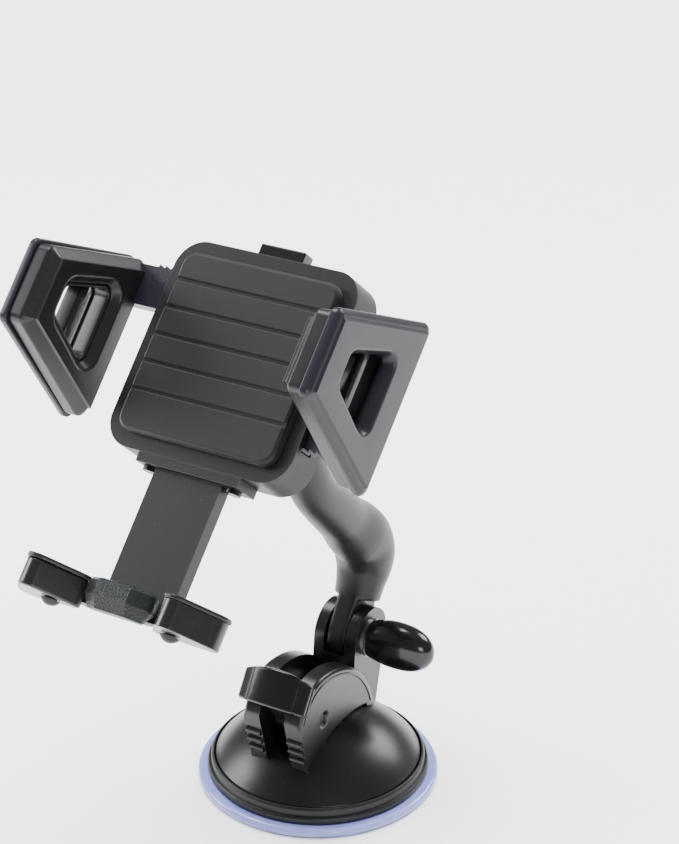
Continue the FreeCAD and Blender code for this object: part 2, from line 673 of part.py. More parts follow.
def make_case(place):
    circles = case_circles()
    cover = belt_block(circles, case_back, case_split)
    cover = cover.cut(belt_block(circles, case_floor, case_split + EPS, -case_wall))
    cover = cover.fuse(tube(boss_outer, -seat_lip + 2.6, case_floor))
    for x, y in case_screw_places():
        post = tube(boss_radius, case_floor, case_split)
        post.translate(Vector(x, y, 0))
        cover = cover.fuse(post)
    for x in (-flange_screw_x, flange_screw_x):
        cover = cover.fuse(block(x - boss_radius, x + boss_radius, -case_bottom + 0.1, -case_bottom + 7.5,
                                 pawl_back + pawl_thickness + air_gap, case_split))
    cover = cover.fuse(tube(3.0, case_floor, bar_back - 0.3))
    cover = cover.cut(tube(pinion_axle_radius, case_floor, case_split))
    cover = cover.cut(tube(seat_radius + fit_gap, -20, seat_top + 0.1))
    cover = cover.cut(tube(seat_radius - 3.8, 0, socket_floor))
    gate = block(case_half_width - 5, case_half_width + 5, -bar_outer - ratchet_depth - 0.4, -bar_tip + 0.4,
                 bar_back - air_gap, case_split + EPS)
    cover = cover.cut(gate).cut(half_turn(gate))
    button_gate = button_half_width + air_gap
    cover = cover.cut(block(-button_gate, button_gate, case_top - 5, case_top + 5,
                            pawl_back + pawl_thickness - air_gap, bar_back + bar_thickness + 0.1))
    for x, y in case_screw_places():
        hole = tube(case_screw_radius + fit_gap, 0, 30).fuse(tube(2.3, 0, case_back + 1.5))
        hole.translate(Vector(x, y, 0))
        cover = cover.cut(hole)
    middle = neck_back + neck_thickness / 2
    for x in (-flange_screw_x, flange_screw_x):
        start = Vector(x, -case_bottom - EPS, middle)
        cover = cover.cut(Part.makeCylinder(case_screw_radius, 8.0, start, Vector(0, 1, 0)))
    place("rear_cover", cover.removeSplitter())

    lid = belt_block(circles, case_split, case_split + front_cover_height)
    lid = lid.cut(tube(pinion_axle_radius, case_split - EPS, case_split + 1.0))
    screws = []
    for x, y in case_screw_places():
        hole = tube(case_screw_radius, case_split - EPS, case_split + 1.3)
        hole.translate(Vector(x, y, 0))
        lid = lid.cut(hole)
        screw = tube(screw_head_radius, case_back + 0.1, case_back + 1.5)
        screw = screw.fuse(tube(case_screw_radius, case_back + 1.5, case_split + 1.3))
        screw.translate(Vector(x, y, 0))
        screws.append(screw)
    place("front_cover", lid)
    place("case_screws", Part.makeCompound(screws))

    lid_top = case_split + front_cover_height
    pad = belt_block(circles, lid_top, lid_top + back_pad_height - 0.8, -back_pad_margin)
    pad = pad.fuse(bevel(circles, lid_top + back_pad_height - 0.8, lid_top + back_pad_height,
                         -back_pad_margin, -back_pad_margin - 0.8))
    for index in range(-2, 3):
        pad = pad.cut(block(-40, 40, index * 7.5 - 0.6, index * 7.5 + 0.6,
                            lid_top + back_pad_height - 0.6, lid_top + back_pad_height + EPS))
    place("back_pad", pad.removeSplitter())
    place("pinion_axle", tube(pinion_axle_radius, case_floor, case_split + 1.0))


# ---------------------------------------------------------------- rack, pinion and jaws
def tooth_halves():
    """Half the width of a gear tooth at its tip and at its root."""
    half_pitch = pitch * tooth_share / 2
    slope = math.tan(math.radians(tooth_slope_deg))
    return half_pitch - addendum * slope, half_pitch + dedendum * slope


def prism(corners, height, low):
    """Solid between an outline of corners and its copy, from height low upwards."""
    solid = Part.Face(Part.makePolygon(corners + [corners[0]])).extrude(Vector(0, 0, height))
    solid.translate(Vector(0, 0, low))
    return solid


def make_pinion(place):
    tip = pitch_radius + addendum
    root = pitch_radius - dedendum
    half_tip, half_root = tooth_halves()
    pinion = tube(root + 0.1, bar_back + 0.2, bar_back + bar_thickness - 0.1)
    for index in range(pinion_teeth):
        corners = [Vector(root - 0.6, -half_root, 0), Vector(root, -half_root, 0), Vector(tip, -half_tip, 0),
                   Vector(tip, half_tip, 0), Vector(root, half_root, 0), Vector(root - 0.6, half_root, 0)]
        tooth = prism(corners, bar_thickness - 0.3, bar_back + 0.2)
        tooth.rotate(Vector(0, 0, 0), Vector(0, 0, 1), 360 / pinion_teeth * index)
        pinion = pinion.fuse(tooth)
    pinion = pinion.cut(tube(pinion_axle_radius + fit_gap, 0, 30))
    place("pinion", pinion.removeSplitter())
    spring = coil(4.0, 0.3, 1.5, bar_back - case_floor - 0.5)
    spring.translate(Vector(0, 0, case_floor + 0.15))
    place("opening_spring", spring)


def make_rack_arm():
    """Right-hand rack bar: gear teeth on its upper edge, ratchet teeth on its lower edge."""
    jaw_face = jaw_inner + jaw_pad_width
    bar = block(-bar_inner_end, jaw_face, -bar_outer, -bar_root, bar_back, bar_back + bar_thickness)
    half_tip, half_root = tooth_halves()
    first = math.ceil((-bar_inner_end + half_root) / pitch - 0.5)
    last = math.floor((case_half_width - 2) / pitch - 0.5)
    for index in range(first, last + 1):
        x = (index + 0.5) * pitch
        corners = [Vector(x - half_root, -bar_root - 0.2, 0), Vector(x - half_root, -bar_root, 0),
                   Vector(x - half_tip, -bar_tip, 0), Vector(x + half_tip, -bar_tip, 0),
                   Vector(x + half_root, -bar_root, 0), Vector(x + half_root, -bar_root - 0.2, 0)]
        bar = bar.fuse(prism(corners, bar_thickness, bar_back))
    count = int((jaw_inner - 1.5 + bar_inner_end) / ratchet_pitch)
    for index in range(count):
        x = -bar_inner_end + ratchet_pitch * index
        corners = [Vector(x, -bar_outer + 0.2, 0), Vector(x, -bar_outer, 0),
                   Vector(x + ratchet_pitch - 0.3, -bar_outer - ratchet_depth, 0),
                   Vector(x + ratchet_pitch, -bar_outer, 0), Vector(x + ratchet_pitch, -bar_outer + 0.2, 0)]
        bar = bar.fuse(prism(corners, bar_thickness, bar_back))
    flange = block(jaw_face - jaw_flange, jaw_face, -flange_outer, -bar_root, bar_back, flange_top)
    bar = bar.fuse(flange)
    for y, z in jaw_screw_places():
        bar = bar.cut(rod_x(jaw_screw_radius + fit_gap, y, z, 0, 100))
    return bar.removeSplitter()


def jaw_screw_places():
    z = (bar_back + bar_thickness + flange_top) / 2
    return [(-flange_outer + 2.1, z), (-bar_root - 2.3, z)]


def jaw_circles(shift):
    """Outline of a jaw as (up, out), moved up by a shift."""
    back = jaw_back + jaw_corner
    front = jaw_front - jaw_corner
    half_back = jaw_back_half - jaw_corner
    half_front = jaw_front_half - jaw_corner
    return [(shift - half_back, back, jaw_corner), (shift + half_back, back, jaw_corner),
            (shift + half_front, front, jaw_corner), (shift - half_front, front, jaw_corner)]


def window_circles(shift):
    back = window_back + window_corner
    front = window_front - window_corner
    half_back = window_back_half - window_corner
    half_front = window_front_half - window_corner
    return [(shift - half_back, back, window_corner), (shift + half_back, back, window_corner),
            (shift + half_front, front, window_corner), (shift - half_front, front, window_corner)]


def sideways(shape):
    """Turns a shape drawn as (up, out) outline, raised to the right, into the cradle's frame."""
    matrix = FreeCAD.Matrix(0, 0, 1, 0, 1, 0, 0, 0, 0, 1, 0, 0, 0, 0, 0, 1)
    return shape.transformed(matrix)


def make_jaw(shift):
    """A right-hand jaw's grip, shell, rack arm and screws, its outline moved up by a shift."""
    joint = jaw_inner + jaw_pad_width
    outside = joint + jaw_shell_width
    outline = jaw_circles(shift)
    shell = belt_block(outline, joint, outside - jaw_bevel)
    shell = shell.fuse(bevel(outline, outside - jaw_bevel, outside, 0, -jaw_bevel))
    shell = shell.cut(belt_block(window_circles(shift), 0, 100))
    shell = sideways(shell)
    pad = belt_block(outline, jaw_inner + jaw_bevel, joint, -jaw_pad_inset)
    pad = pad.fuse(bevel(outline, jaw_inner, jaw_inner + jaw_bevel,
                         -jaw_pad_inset - jaw_bevel, -jaw_pad_inset))
    pad = pad.cut(belt_block(window_circles(shift), 0, 100, 0.6))
    pad = sideways(pad)
    notch = block(jaw_inner - EPS, joint, -bar_outer - ratchet_depth - 0.4, -bar_tip + 0.4, jaw_back - EPS,
                  bar_back + bar_thickness + 0.3)
    pocket = block(joint - jaw_flange - 0.1, joint, -flange_outer - 0.1, -bar_root + 0.1, bar_back,
                   flange_top + 0.1)
    pad = pad.cut(notch).cut(pocket)
    screws = []
    for y, z in jaw_screw_places():
        head_start = joint - jaw_flange - 1.4
        screw = rod_x(jaw_screw_head, y, z, head_start, joint - jaw_flange)
        screw = screw.fuse(rod_x(jaw_screw_radius, y, z, joint - jaw_flange, joint + 2.0))
        screws.append(screw)
        pad = pad.cut(rod_x(jaw_screw_head + 0.1, y, z, head_start - 0.1, joint))
        shell = shell.cut(rod_x(jaw_screw_radius, y, z, joint - EPS, joint + 2.0))
    return {"rack_arm": make_rack_arm(), "jaw_shell": shell.removeSplitter(),
            "jaw_pad": pad.removeSplitter(), "jaw_screws": Part.makeCompound(screws)}


def make_jaws(place):
    """The left jaw is a right-hand one turned half round, so its outline is moved the other way."""
    for name, piece in make_jaw(-jaw_drop).items():
        place("right_" + name, piece)
    for name, piece in make_jaw(jaw_drop).items():
        place("left_" + name, half_turn(piece))


# ---------------------------------------------------------------- release button and pawl
def make_release(place):
    bar_edge = bar_outer + ratchet_depth
    pawl_low = -bar_edge - 3.2
    front = bar_back + bar_thickness
    frame = block(-pawl_half_width, pawl_half_width, pawl_low, pawl_frame_top,
                  pawl_back, pawl_back + pawl_thickness)
    inside = pawl_half_width - pawl_rail
    frame = frame.cut(block(-inside, inside, -bar_edge + 0.4, pawl_frame_top - 3.5, 0, 30))
    frame = frame.fuse(block(-5, 5, pawl_low, -bar_edge - 1.2, pawl_back, front - 0.2))
    for x in (-pawl_tooth_x, pawl_tooth_x):
        corners = [Vector(x - 1.2, -bar_edge - 1.3, 0), Vector(x + 1.2, -bar_edge - 1.3, 0),
                   Vector(x + 0.9, -bar_edge - 0.35, 0)]
        frame = frame.fuse(prism(corners, bar_thickness - 0.4, bar_back))
    place("pawl_frame", frame.removeSplitter())

    low = pawl_back + pawl_thickness
    button = block(-button_half_width, button_half_width, button_foot, case_top + button_proud, low, front)
    shoulder = block(-button_half_width - 2, button_half_width + 2, button_foot, case_top - case_wall - 0.2,
                     low, front)
    place("release_button", button.fuse(shoulder).removeSplitter())

    springs = []
    seat = -case_bottom + case_wall
    for x in (-release_spring_x, release_spring_x):
        spring = coil(1.6, 0.28, 5, pawl_low - seat)
        spring.rotate(Vector(0, 0, 0), Vector(1, 0, 0), -90)
        spring.translate(Vector(x, seat, (pawl_back + front) / 2))
        springs.append(spring)
    place("release_springs", Part.makeCompound(springs))


# ---------------------------------------------------------------- bottom support and feet
def flat(shape):
    """Turns a shape drawn as (right, out) outline, raised, into one raised downwards."""
    matrix = FreeCAD.Matrix(1, 0, 0, 0, 0, 0, -1, 0, 0, 1, 0, 0, 0, 0, 0, 1)
    return shape.transformed(matrix)


def foot_circles():
    """Plan of the right foot: a rounded tip in front and two rear corners."""
    return [(foot_pivot_x - 4.6, foot_pivot_z - 2.6, 2.2), (foot_pivot_x + 8.4, foot_pivot_z - 2.8, 3.8),
            (foot_pivot_x + 2.7, foot_pivot_z + 6.0, 3.2)]


def pad_circles():
    z = foot_pivot_z - centre_pad_back
    return [(-7.4, z + 0.8, 2.2), (7.4, z + 0.8, 2.2), (8.4, z + 2.6, 2.0), (4.6, z + 4.8, 2.0),
            (-4.6, z + 4.8, 2.0), (-8.4, z + 2.6, 2.0)]


def mirror(shape):
    return shape.mirror(Vector(0, 0, 0), Vector(1, 0, 0))


def make_bottom(place):
    lid_top = case_split + front_cover_height
    flange_half = flange_screw_x + 3.0
    flange_low = -case_bottom - bracket_flange
    flange = block(-flange_half, flange_half, flange_low, -case_bottom, case_back + 1.5, lid_top)
    neck = block(-neck_half_width, neck_half_width, -shelf_low, -case_bottom - 2.0, neck_back,
                 neck_back + neck_thickness)
    shelf_corner = 2.2
    shelf_x = foot_pivot_x - 2
    shelf_back = neck_back + shelf_corner
    shelf_front = rail_front - shelf_corner
    shelf = belt_block([(-shelf_x, shelf_back, shelf_corner), (shelf_x, shelf_back, shelf_corner),
                        (shelf_x, shelf_front, shelf_corner), (-shelf_x, shelf_front, shelf_corner)],
                       shelf_top, shelf_low)
    for side in (-1, 1):
        arm = [(side * foot_pivot_x, shelf_front, foot_arm_radius),
               (side * foot_pivot_x, foot_pivot_z, foot_arm_radius)]
        shelf = shelf.fuse(belt_block(arm, shelf_top, shelf_low))
    tongue_end = foot_pivot_z - centre_pad_back + 3.0
    tongue = block(-6.0, 6.0, shelf_front, tongue_end, shelf_top, shelf_low)
    shelf = flat(shelf.fuse(tongue))
    bracket = flange.fuse(neck).fuse(shelf)
    for side in (-1, 1):
        start = Vector(side * foot_pivot_x, -shelf_low - EPS, foot_pivot_z)
        pivot_hole = Part.makeCylinder(foot_screw_radius, shelf_thickness + 2 * EPS, start, Vector(0, 1, 0))
        bracket = bracket.cut(pivot_hole)
        start = Vector(side * flange_screw_x, flange_low - EPS, neck_back + neck_thickness / 2)
        bracket = bracket.cut(Part.makeCylinder(case_screw_radius + fit_gap, 6, start, Vector(0, 1, 0)))
    place("bottom_bracket", bracket.removeSplitter())

    screws = []
    for side in (-1, 1):
        start = Vector(side * flange_screw_x, flange_low, neck_back + neck_thickness / 2)
        head = Part.makeCylinder(screw_head_radius, screw_head_height, start, Vector(0, -1, 0))
        screws.append(head.fuse(Part.makeCylinder(case_screw_radius, 9.6, start, Vector(0, 1, 0))))
    place("bracket_screws", Part.makeCompound(screws))

    pad = flat(belt_block(pad_circles(), foot_top, foot_top + centre_pad_height))
    pad = pad.cut(block(-6.1, 6.1, -shelf_low - 0.1, -shelf_top + 0.1, 0, tongue_end + 0.1))
    place("centre_pad", pad)

    foot = belt_block(foot_circles(), foot_top + foot_pad_height, foot_low)
    arm = [(foot_pivot_x, shelf_front, foot_arm_radius), (foot_pivot_x, foot_pivot_z, foot_arm_radius)]
    pivot = Vector(foot_pivot_x, foot_pivot_z, 0)
    for degrees in (-foot_turn_in, 0, foot_turn_out / 2, foot_turn_out):
        slot = belt_block(arm, shelf_top - air_gap, shelf_low + air_gap, air_gap)
        slot.rotate(pivot, Vector(0, 0, 1), degrees)
        foot = foot.cut(slot)
    foot = flat(foot)
    shank_top = -foot_top - foot_pad_height - 0.6
    hole_length = shank_top + foot_low + EPS
    foot = foot.cut(Part.makeCylinder(foot_screw_radius + fit_gap, hole_length,
                                      Vector(foot_pivot_x, -foot_low - EPS, foot_pivot_z), Vector(0, 1, 0)))
    foot = foot.removeSplitter()
    sole = flat(belt_block(foot_circles(), foot_top, foot_top + foot_pad_height, foot_pad_grow))
    screws = []
    for side in (-1, 1):
        base = Vector(side * foot_pivot_x, -foot_low - air_gap, foot_pivot_z)
        length = shank_top - 0.2 + foot_low + air_gap
        shank = Part.makeCylinder(foot_screw_radius, length, base, Vector(0, 1, 0))
        head = Part.makeSphere(foot_screw_head, Vector(base.x, base.y + 1.4, base.z))
        head = head.common(block(-50, 50, base.y - 3, base.y, 0, 60))
        screws.append(shank.fuse(head))
    place("right_foot", foot)
    place("left_foot", mirror(foot))
    place("right_foot_pad", sole)
    place("left_foot_pad", mirror(sole))
    place("foot_screws", Part.makeCompound(screws))


def cradle_placement():
    turn = FreeCAD.Rotation(Vector(0, 0, 1), cradle_yaw)
    turn = turn.multiply(FreeCAD.Rotation(Vector(1, 0, 0), 90 - cradle_tilt))
    turn = turn.multiply(FreeCAD.Rotation(Vector(0, 0, 1), cradle_spin))
    return FreeCAD.Placement(Vector(0, ball_y, ball_z), turn)


def make_cradle():
    matrix = cradle_placement().toMatrix()

    def place(name, shape):
        nodes[name] = shape.transformed(matrix)

    make_socket_pieces(place)
    make_case(place)
    make_pinion(place)
    make_jaws(place)
    make_release(place)
    make_bottom(place)


make_base()
make_stem()
make_tower()
make_lever()
make_knob()
make_arm()
make_cradle()
os.makedirs("parts", exist_ok=True)
for name, shape in nodes.items():
    shape.exportStep("parts/" + name + ".step")
    solids = len(shape.Solids)
    print(name, "solids", solids, "valid", shape.isValid(), "volume", round(shape.Volume, 1))
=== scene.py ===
# %% [markdown]
# # A phone mount for a car, from suction base to cradle
# The mount is a chain of black moulded pieces: a gel sucker with a lock lever, an elbow arm on a
# hinge, a ball joint, and a cradle whose two jaws slide together on a rack. The sizes and the
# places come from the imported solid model, so each piece made here lands where the solid stood.
# %% Load the solid model
import json
import math
import bmesh
import bpy
from mathutils import Matrix, Vector


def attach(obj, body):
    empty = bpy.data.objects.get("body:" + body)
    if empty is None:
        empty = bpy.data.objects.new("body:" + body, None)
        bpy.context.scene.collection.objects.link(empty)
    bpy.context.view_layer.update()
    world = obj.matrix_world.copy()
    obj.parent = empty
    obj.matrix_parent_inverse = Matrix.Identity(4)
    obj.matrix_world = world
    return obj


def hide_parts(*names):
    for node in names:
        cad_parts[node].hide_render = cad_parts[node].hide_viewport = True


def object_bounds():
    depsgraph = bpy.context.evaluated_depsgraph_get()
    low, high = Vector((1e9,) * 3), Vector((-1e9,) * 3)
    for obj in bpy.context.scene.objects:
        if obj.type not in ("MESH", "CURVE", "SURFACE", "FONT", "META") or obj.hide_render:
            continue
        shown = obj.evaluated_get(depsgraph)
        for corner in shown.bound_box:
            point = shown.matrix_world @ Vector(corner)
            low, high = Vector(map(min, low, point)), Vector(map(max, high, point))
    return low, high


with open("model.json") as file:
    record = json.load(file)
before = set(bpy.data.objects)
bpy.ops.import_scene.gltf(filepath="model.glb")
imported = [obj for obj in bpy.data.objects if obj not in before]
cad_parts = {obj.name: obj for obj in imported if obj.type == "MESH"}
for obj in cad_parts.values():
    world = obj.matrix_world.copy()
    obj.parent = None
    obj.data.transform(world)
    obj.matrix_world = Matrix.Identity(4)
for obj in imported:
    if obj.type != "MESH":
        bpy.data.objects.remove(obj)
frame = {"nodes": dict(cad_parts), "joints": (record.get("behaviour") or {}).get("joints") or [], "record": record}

cad_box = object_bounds()
nodes = frame["nodes"]
joints = {joint["name"]: joint for joint in frame["joints"]}

# %% [markdown]
# ## Axes and units
# The pieces are drawn in millimetres. The base stands square to the floor, but the cradle leans and
# turns, and drawing a leaning plate in floor axes is hard to read. So the cradle has axes of its
# own: right along the jaws' slide, out along the axis that it spins on, and the origin in the ball.
# %% Axes of the base and the cradle
MM = 0.001


def axes_at(right, up, out, origin):
    """Matrix from millimetres along three directions to metres in the shared frame."""
    turn = Matrix((right, up, out)).transposed().to_4x4()
    return Matrix.Translation(origin) @ turn @ Matrix.Scale(MM, 4)


out = Vector(joints["cradle_spin"]["axis"]).normalized()
right = Vector(joints["right_jaw_slide"]["axis"]).normalized()
up = out.cross(right)
ball_centre = Vector(joints["cradle_spin"]["pos_m"])
base_axes = Matrix.Scale(MM, 4)
cradle_axes = axes_at(right, up, out, ball_centre)
left_axes = cradle_axes @ Matrix.Rotation(math.pi, 4, "Z")


def size_in(axes, *names):
    """Lowest and highest corner of some solid pieces, in millimetres along the given axes."""
    inverse = axes.inverted()
    places = [inverse @ vertex.co for name in names for vertex in nodes[name].data.vertices]
    low = Vector([min(place[i] for place in places) for i in range(3)])
    high = Vector([max(place[i] for place in places) for i in range(3)])
    return low, high


print("cradle leans out along", [round(value, 2) for value in out])

# %% [markdown]
# ## Outlines and skins
# Nearly every moulded piece here is an outline with round corners that is stacked at several
# heights, each time a little smaller or larger. A belt pulled round circles gives such an outline,
# and since each belt has the same number of points, quads between two belts make a clean wall.
# Booleans would do it too, but they leave long thin faces that shade badly.
# %% Belt outlines
CORNER_STEPS = 7


def belt(circles, grow=0.0, steps=CORNER_STEPS):
    """Points of the belt round (x, y, radius) circles listed anticlockwise, grown outwards."""
    headings = []
    for index, (x, y, radius) in enumerate(circles):
        next_x, next_y, next_radius = circles[(index + 1) % len(circles)]
        distance = math.hypot(next_x - x, next_y - y)
        heading = math.atan2(next_y - y, next_x - x) - math.asin((next_radius - radius) / distance)
        headings.append(heading - math.pi / 2)
    points = []
    for index, (x, y, radius) in enumerate(circles):
        start = headings[index - 1]
        turn = (headings[index] - start) % (2 * math.pi)
        reach = max(radius + grow, 0.02)
        for step in range(steps + 1):
            angle = start + turn * step / steps
            points.append((x + reach * math.cos(angle), y + reach * math.sin(angle)))
    return points


def corners(low_x, high_x, low_y, high_y, radius):
    """Circles for a rectangle with round corners."""
    left, right_side = low_x + radius, high_x - radius
    bottom, top = low_y + radius, high_y - radius
    return [(left, bottom, radius), (right_side, bottom, radius),
            (right_side, top, radius), (left, top, radius)]


print("points in a four-cornered belt", len(belt(corners(0, 10, 0, 10, 2))))


# %% Skins, lathes and soft copies
def skin(name, loops, axes, closed=False):
    """Mesh object of quads between loops of equal length, drawn along the given axes."""
    shape = bmesh.new()
    rows = [[shape.verts.new(axes @ Vector(point)) for point in loop] for loop in loops]
    pairs = list(zip(rows, rows[1:]))
    if closed:
        pairs.append((rows[-1], rows[0]))
    else:
        shape.faces.new(rows[0])
        shape.faces.new(rows[-1])
    for row, following in pairs:
        for index in range(len(row)):
            after = (index + 1) % len(row)
            shape.faces.new((row[index], row[after], following[after], following[index]))
    return keep(name, shape)


def keep(name, shape):
    """Turns a bmesh into a linked object with its faces pointing outwards."""
    bmesh.ops.recalc_face_normals(shape, faces=shape.faces)
    mesh = bpy.data.meshes.new(name)
    shape.to_mesh(mesh)
    shape.free()
    mesh.polygons.foreach_set("use_smooth", [True] * len(mesh.polygons))
    piece = bpy.data.objects.new(name, mesh)
    bpy.context.scene.collection.objects.link(piece)
    return piece


def lathe(name, profile, axes, segments=128, closed=False):
    """Turned piece from (radius, height) points."""
    loops = []
    for radius, height in profile:
        ring = []
        for index in range(segments):
            angle = 2 * math.pi * index / segments
            ring.append((radius * math.cos(angle), radius * math.sin(angle), height))
        loops.append(ring)
    return skin(name, loops, axes, closed)


def merge(piece, other):
    """Takes another piece's faces into a piece's mesh."""
    shape = bmesh.new()
    shape.from_mesh(piece.data)
    shape.from_mesh(other.data)
    shape.to_mesh(piece.data)
    shape.free()
    bpy.data.objects.remove(other)


def round_edges(piece, width, segments=3, angle=38):
    """Rounds the edges that turn by more than an angle, and evens the shading out."""
    bevel = piece.modifiers.new("mould_radius", "BEVEL")
    bevel.width = width * MM
    bevel.segments = segments
    bevel.limit_method = "ANGLE"
    bevel.angle_limit = math.radians(angle)
    bevel.use_clamp_overlap = True
    normals = piece.modifiers.new("even_normals", "WEIGHTED_NORMAL")
    normals.keep_sharp = True


def soft_copy(node, name, width, segments=3, broad=None, broad_width=1.3):
    """A solid piece again, with flat faces joined up and its edges rounded as a mould leaves them.

    The edges that the test in broad picks get a wide round first.
    """
    source = nodes[node].data
    shape = bmesh.new()
    verts = [shape.verts.new(vertex.co) for vertex in source.vertices]
    for polygon in source.polygons:
        shape.faces.new([verts[index] for index in polygon.vertices])
    bmesh.ops.remove_doubles(shape, verts=shape.verts, dist=MM / 500)
    bmesh.ops.dissolve_limit(shape, angle_limit=math.radians(0.6), verts=shape.verts, edges=shape.edges)
    if broad:
        picked = [edge for edge in shape.edges if broad(edge)]
        bmesh.ops.bevel(shape, geom=picked, offset=broad_width * MM, segments=5, profile=0.5, affect="EDGES")
    piece = keep(name, shape)
    round_edges(piece, width, segments)
    return piece


def arc(centre, radius, start, end, steps):
    """Points (a, b) on an arc between two angles in degrees."""
    points = []
    for step in range(steps + 1):
        angle = math.radians(start + (end - start) * step / steps)
        points.append((centre[0] + radius * math.cos(angle), centre[1] + radius * math.sin(angle)))
    return points


print("helpers ready")

# %% [markdown]
# ## What black plastic is made of
# Black plastic looks dead in a single colour. A real moulding has a fine spark-eroded grain from the
# tool, edges that handling has polished paler, and faint patches of dust and grease. The rubber
# under the phone has leather pebbles in place of the grain. Each of the four is a node group that
# gives out only a height, a mask or a value, and every material sets its own numbers. The shader
# itself stays in the material, where an export can read it.
# %% A helper for node groups


def group(name, inputs, outputs):
    """Empty shader node group with float inputs, as (name, default), and named float outputs."""
    tree = bpy.data.node_groups.new(name, "ShaderNodeTree")
    for label, value in inputs:
        tree.interface.new_socket(label, in_out="INPUT", socket_type="NodeSocketFloat").default_value = value
    for label in outputs:
        tree.interface.new_socket(label, in_out="OUTPUT", socket_type="NodeSocketFloat")
    return tree, tree.nodes.new("NodeGroupInput"), tree.nodes.new("NodeGroupOutput")


def maths(tree, operation, first, second):
    """Math node whose inputs are sockets or numbers. Gives its output socket."""
    node = tree.nodes.new("ShaderNodeMath")
    node.operation = operation
    for index, value in enumerate((first, second)):
        if isinstance(value, (int, float)):
            node.inputs[index].default_value = value
        else:
            tree.links.new(value, node.inputs[index])
    return node.outputs[0]


def noise_at(tree, scale, detail, stretch=(1, 1, 1)):
    """Noise that stays with the piece when it moves. Gives its value socket."""
    place = tree.nodes.new("ShaderNodeTexCoord")
    shift = tree.nodes.new("ShaderNodeMapping")
    shift.inputs["Scale"].default_value = stretch
    pattern = tree.nodes.new("ShaderNodeTexNoise")
    pattern.inputs["Detail"].default_value = detail
    if isinstance(scale, (int, float)):
        pattern.inputs["Scale"].default_value = scale
    else:
        tree.links.new(scale, pattern.inputs["Scale"])
    tree.links.new(place.outputs["Object"], shift.inputs["Vector"])
    tree.links.new(shift.outputs["Vector"], pattern.inputs["Vector"])
    return pattern.outputs[0]


# %% Spark grain, edge wear, handling marks and leather grain
def make_grain():
    """Fine pebbling of a spark-eroded mould, with a slow swell under it."""
    tree, given, result = group("spark_grain", [("Scale", 2200.0), ("Depth", 0.5)], ["Height"])
    fine = noise_at(tree, given.outputs["Scale"], 3.0)
    swell = noise_at(tree, 90.0, 1.0)
    both = maths(tree, "ADD", fine, maths(tree, "MULTIPLY", swell, 0.8))
    tree.links.new(maths(tree, "MULTIPLY", both, given.outputs["Depth"]), result.inputs["Height"])
    return tree


def make_wear():
    """Mask of the edges, where the normal of a rounded copy leaves the true one."""
    tree, given, result = group("edge_wear", [("Radius", 0.0006), ("Strength", 3.0)], ["Mask"])
    bevel = tree.nodes.new("ShaderNodeBevel")
    bevel.samples = 4
    place = tree.nodes.new("ShaderNodeNewGeometry")
    dot = tree.nodes.new("ShaderNodeVectorMath")
    dot.operation = "DOT_PRODUCT"
    tree.links.new(given.outputs["Radius"], bevel.inputs["Radius"])
    tree.links.new(bevel.outputs["Normal"], dot.inputs[0])
    tree.links.new(place.outputs["Normal"], dot.inputs[1])
    turned = maths(tree, "SUBTRACT", 1.0, dot.outputs["Value"])
    rubbed = maths(tree, "MULTIPLY", turned, maths(tree, "ADD", noise_at(tree, 260.0, 4.0), 0.35))
    strong = maths(tree, "MULTIPLY", rubbed, given.outputs["Strength"])
    tree.links.new(maths(tree, "MINIMUM", maths(tree, "MAXIMUM", strong, 0.0), 1.0), result.inputs["Mask"])
    return tree


def make_marks():
    """Grease, dust and hairline rubs. Haze lifts the roughness, Dust is a mask for the colour."""
    tree, given, result = group("handling_marks", [("Amount", 0.1)], ["Haze", "Dust"])
    patches = maths(tree, "SUBTRACT", noise_at(tree, 55.0, 4.0), 0.5)
    rubs = maths(tree, "SUBTRACT", noise_at(tree, 420.0, 2.0, (1.0, 0.06, 0.3)), 0.5)
    both = maths(tree, "ADD", patches, maths(tree, "MULTIPLY", rubs, 0.5))
    tree.links.new(maths(tree, "MULTIPLY", both, given.outputs["Amount"]), result.inputs["Haze"])
    specks = maths(tree, "GREATER_THAN", noise_at(tree, 1500.0, 1.0), 0.77)
    tree.links.new(maths(tree, "MULTIPLY", specks, given.outputs["Amount"]), result.inputs["Dust"])
    return tree


def make_pebble():
    """Leather pebbles, flat on top with creases between, for rubber grips."""
    tree, given, result = group("leather_pebble", [("Scale", 900.0), ("Depth", 1.0)], ["Height"])
    place = tree.nodes.new("ShaderNodeTexCoord")
    cells = tree.nodes.new("ShaderNodeTexVoronoi")
    cells.feature = "DISTANCE_TO_EDGE"
    tree.links.new(place.outputs["Object"], cells.inputs["Vector"])
    tree.links.new(given.outputs["Scale"], cells.inputs["Scale"])
    flat = maths(tree, "MINIMUM", maths(tree, "MULTIPLY", cells.outputs["Distance"], 3.5), 1.0)
    uneven = maths(tree, "ADD", flat, maths(tree, "MULTIPLY", noise_at(tree, 1800.0, 3.0), 0.4))
    tree.links.new(maths(tree, "MULTIPLY", uneven, given.outputs["Depth"]), result.inputs["Height"])
    return tree


groups = {"grain": make_grain(), "wear": make_wear(), "marks": make_marks(), "pebble": make_pebble()}
print("node groups", sorted(groups))

# %% [markdown]
# ## The finishes
# One function builds every black finish, since they differ only in numbers: the dome is satin, the
# knob and the lever's grip are polished, and the housing is coarser. The record's material slots
# name them. Steel and gel are different in kind, so each has a function of its own.
# %% A moulded finish


def start_material(name):
    """Empty node material with its shader. Gives the material, the tree and the shader."""
    material = bpy.data.materials.new(name)
    material.use_nodes = True
    return material, material.node_tree, material.node_tree.nodes["Principled BSDF"]


def place_group(tree, name, **values):
    """Adds a node group with its values set."""
    node = tree.nodes.new("ShaderNodeGroup")
    node.node_tree = groups[name]
    for label, value in values.items():
        node.inputs[label].default_value = value
    return node


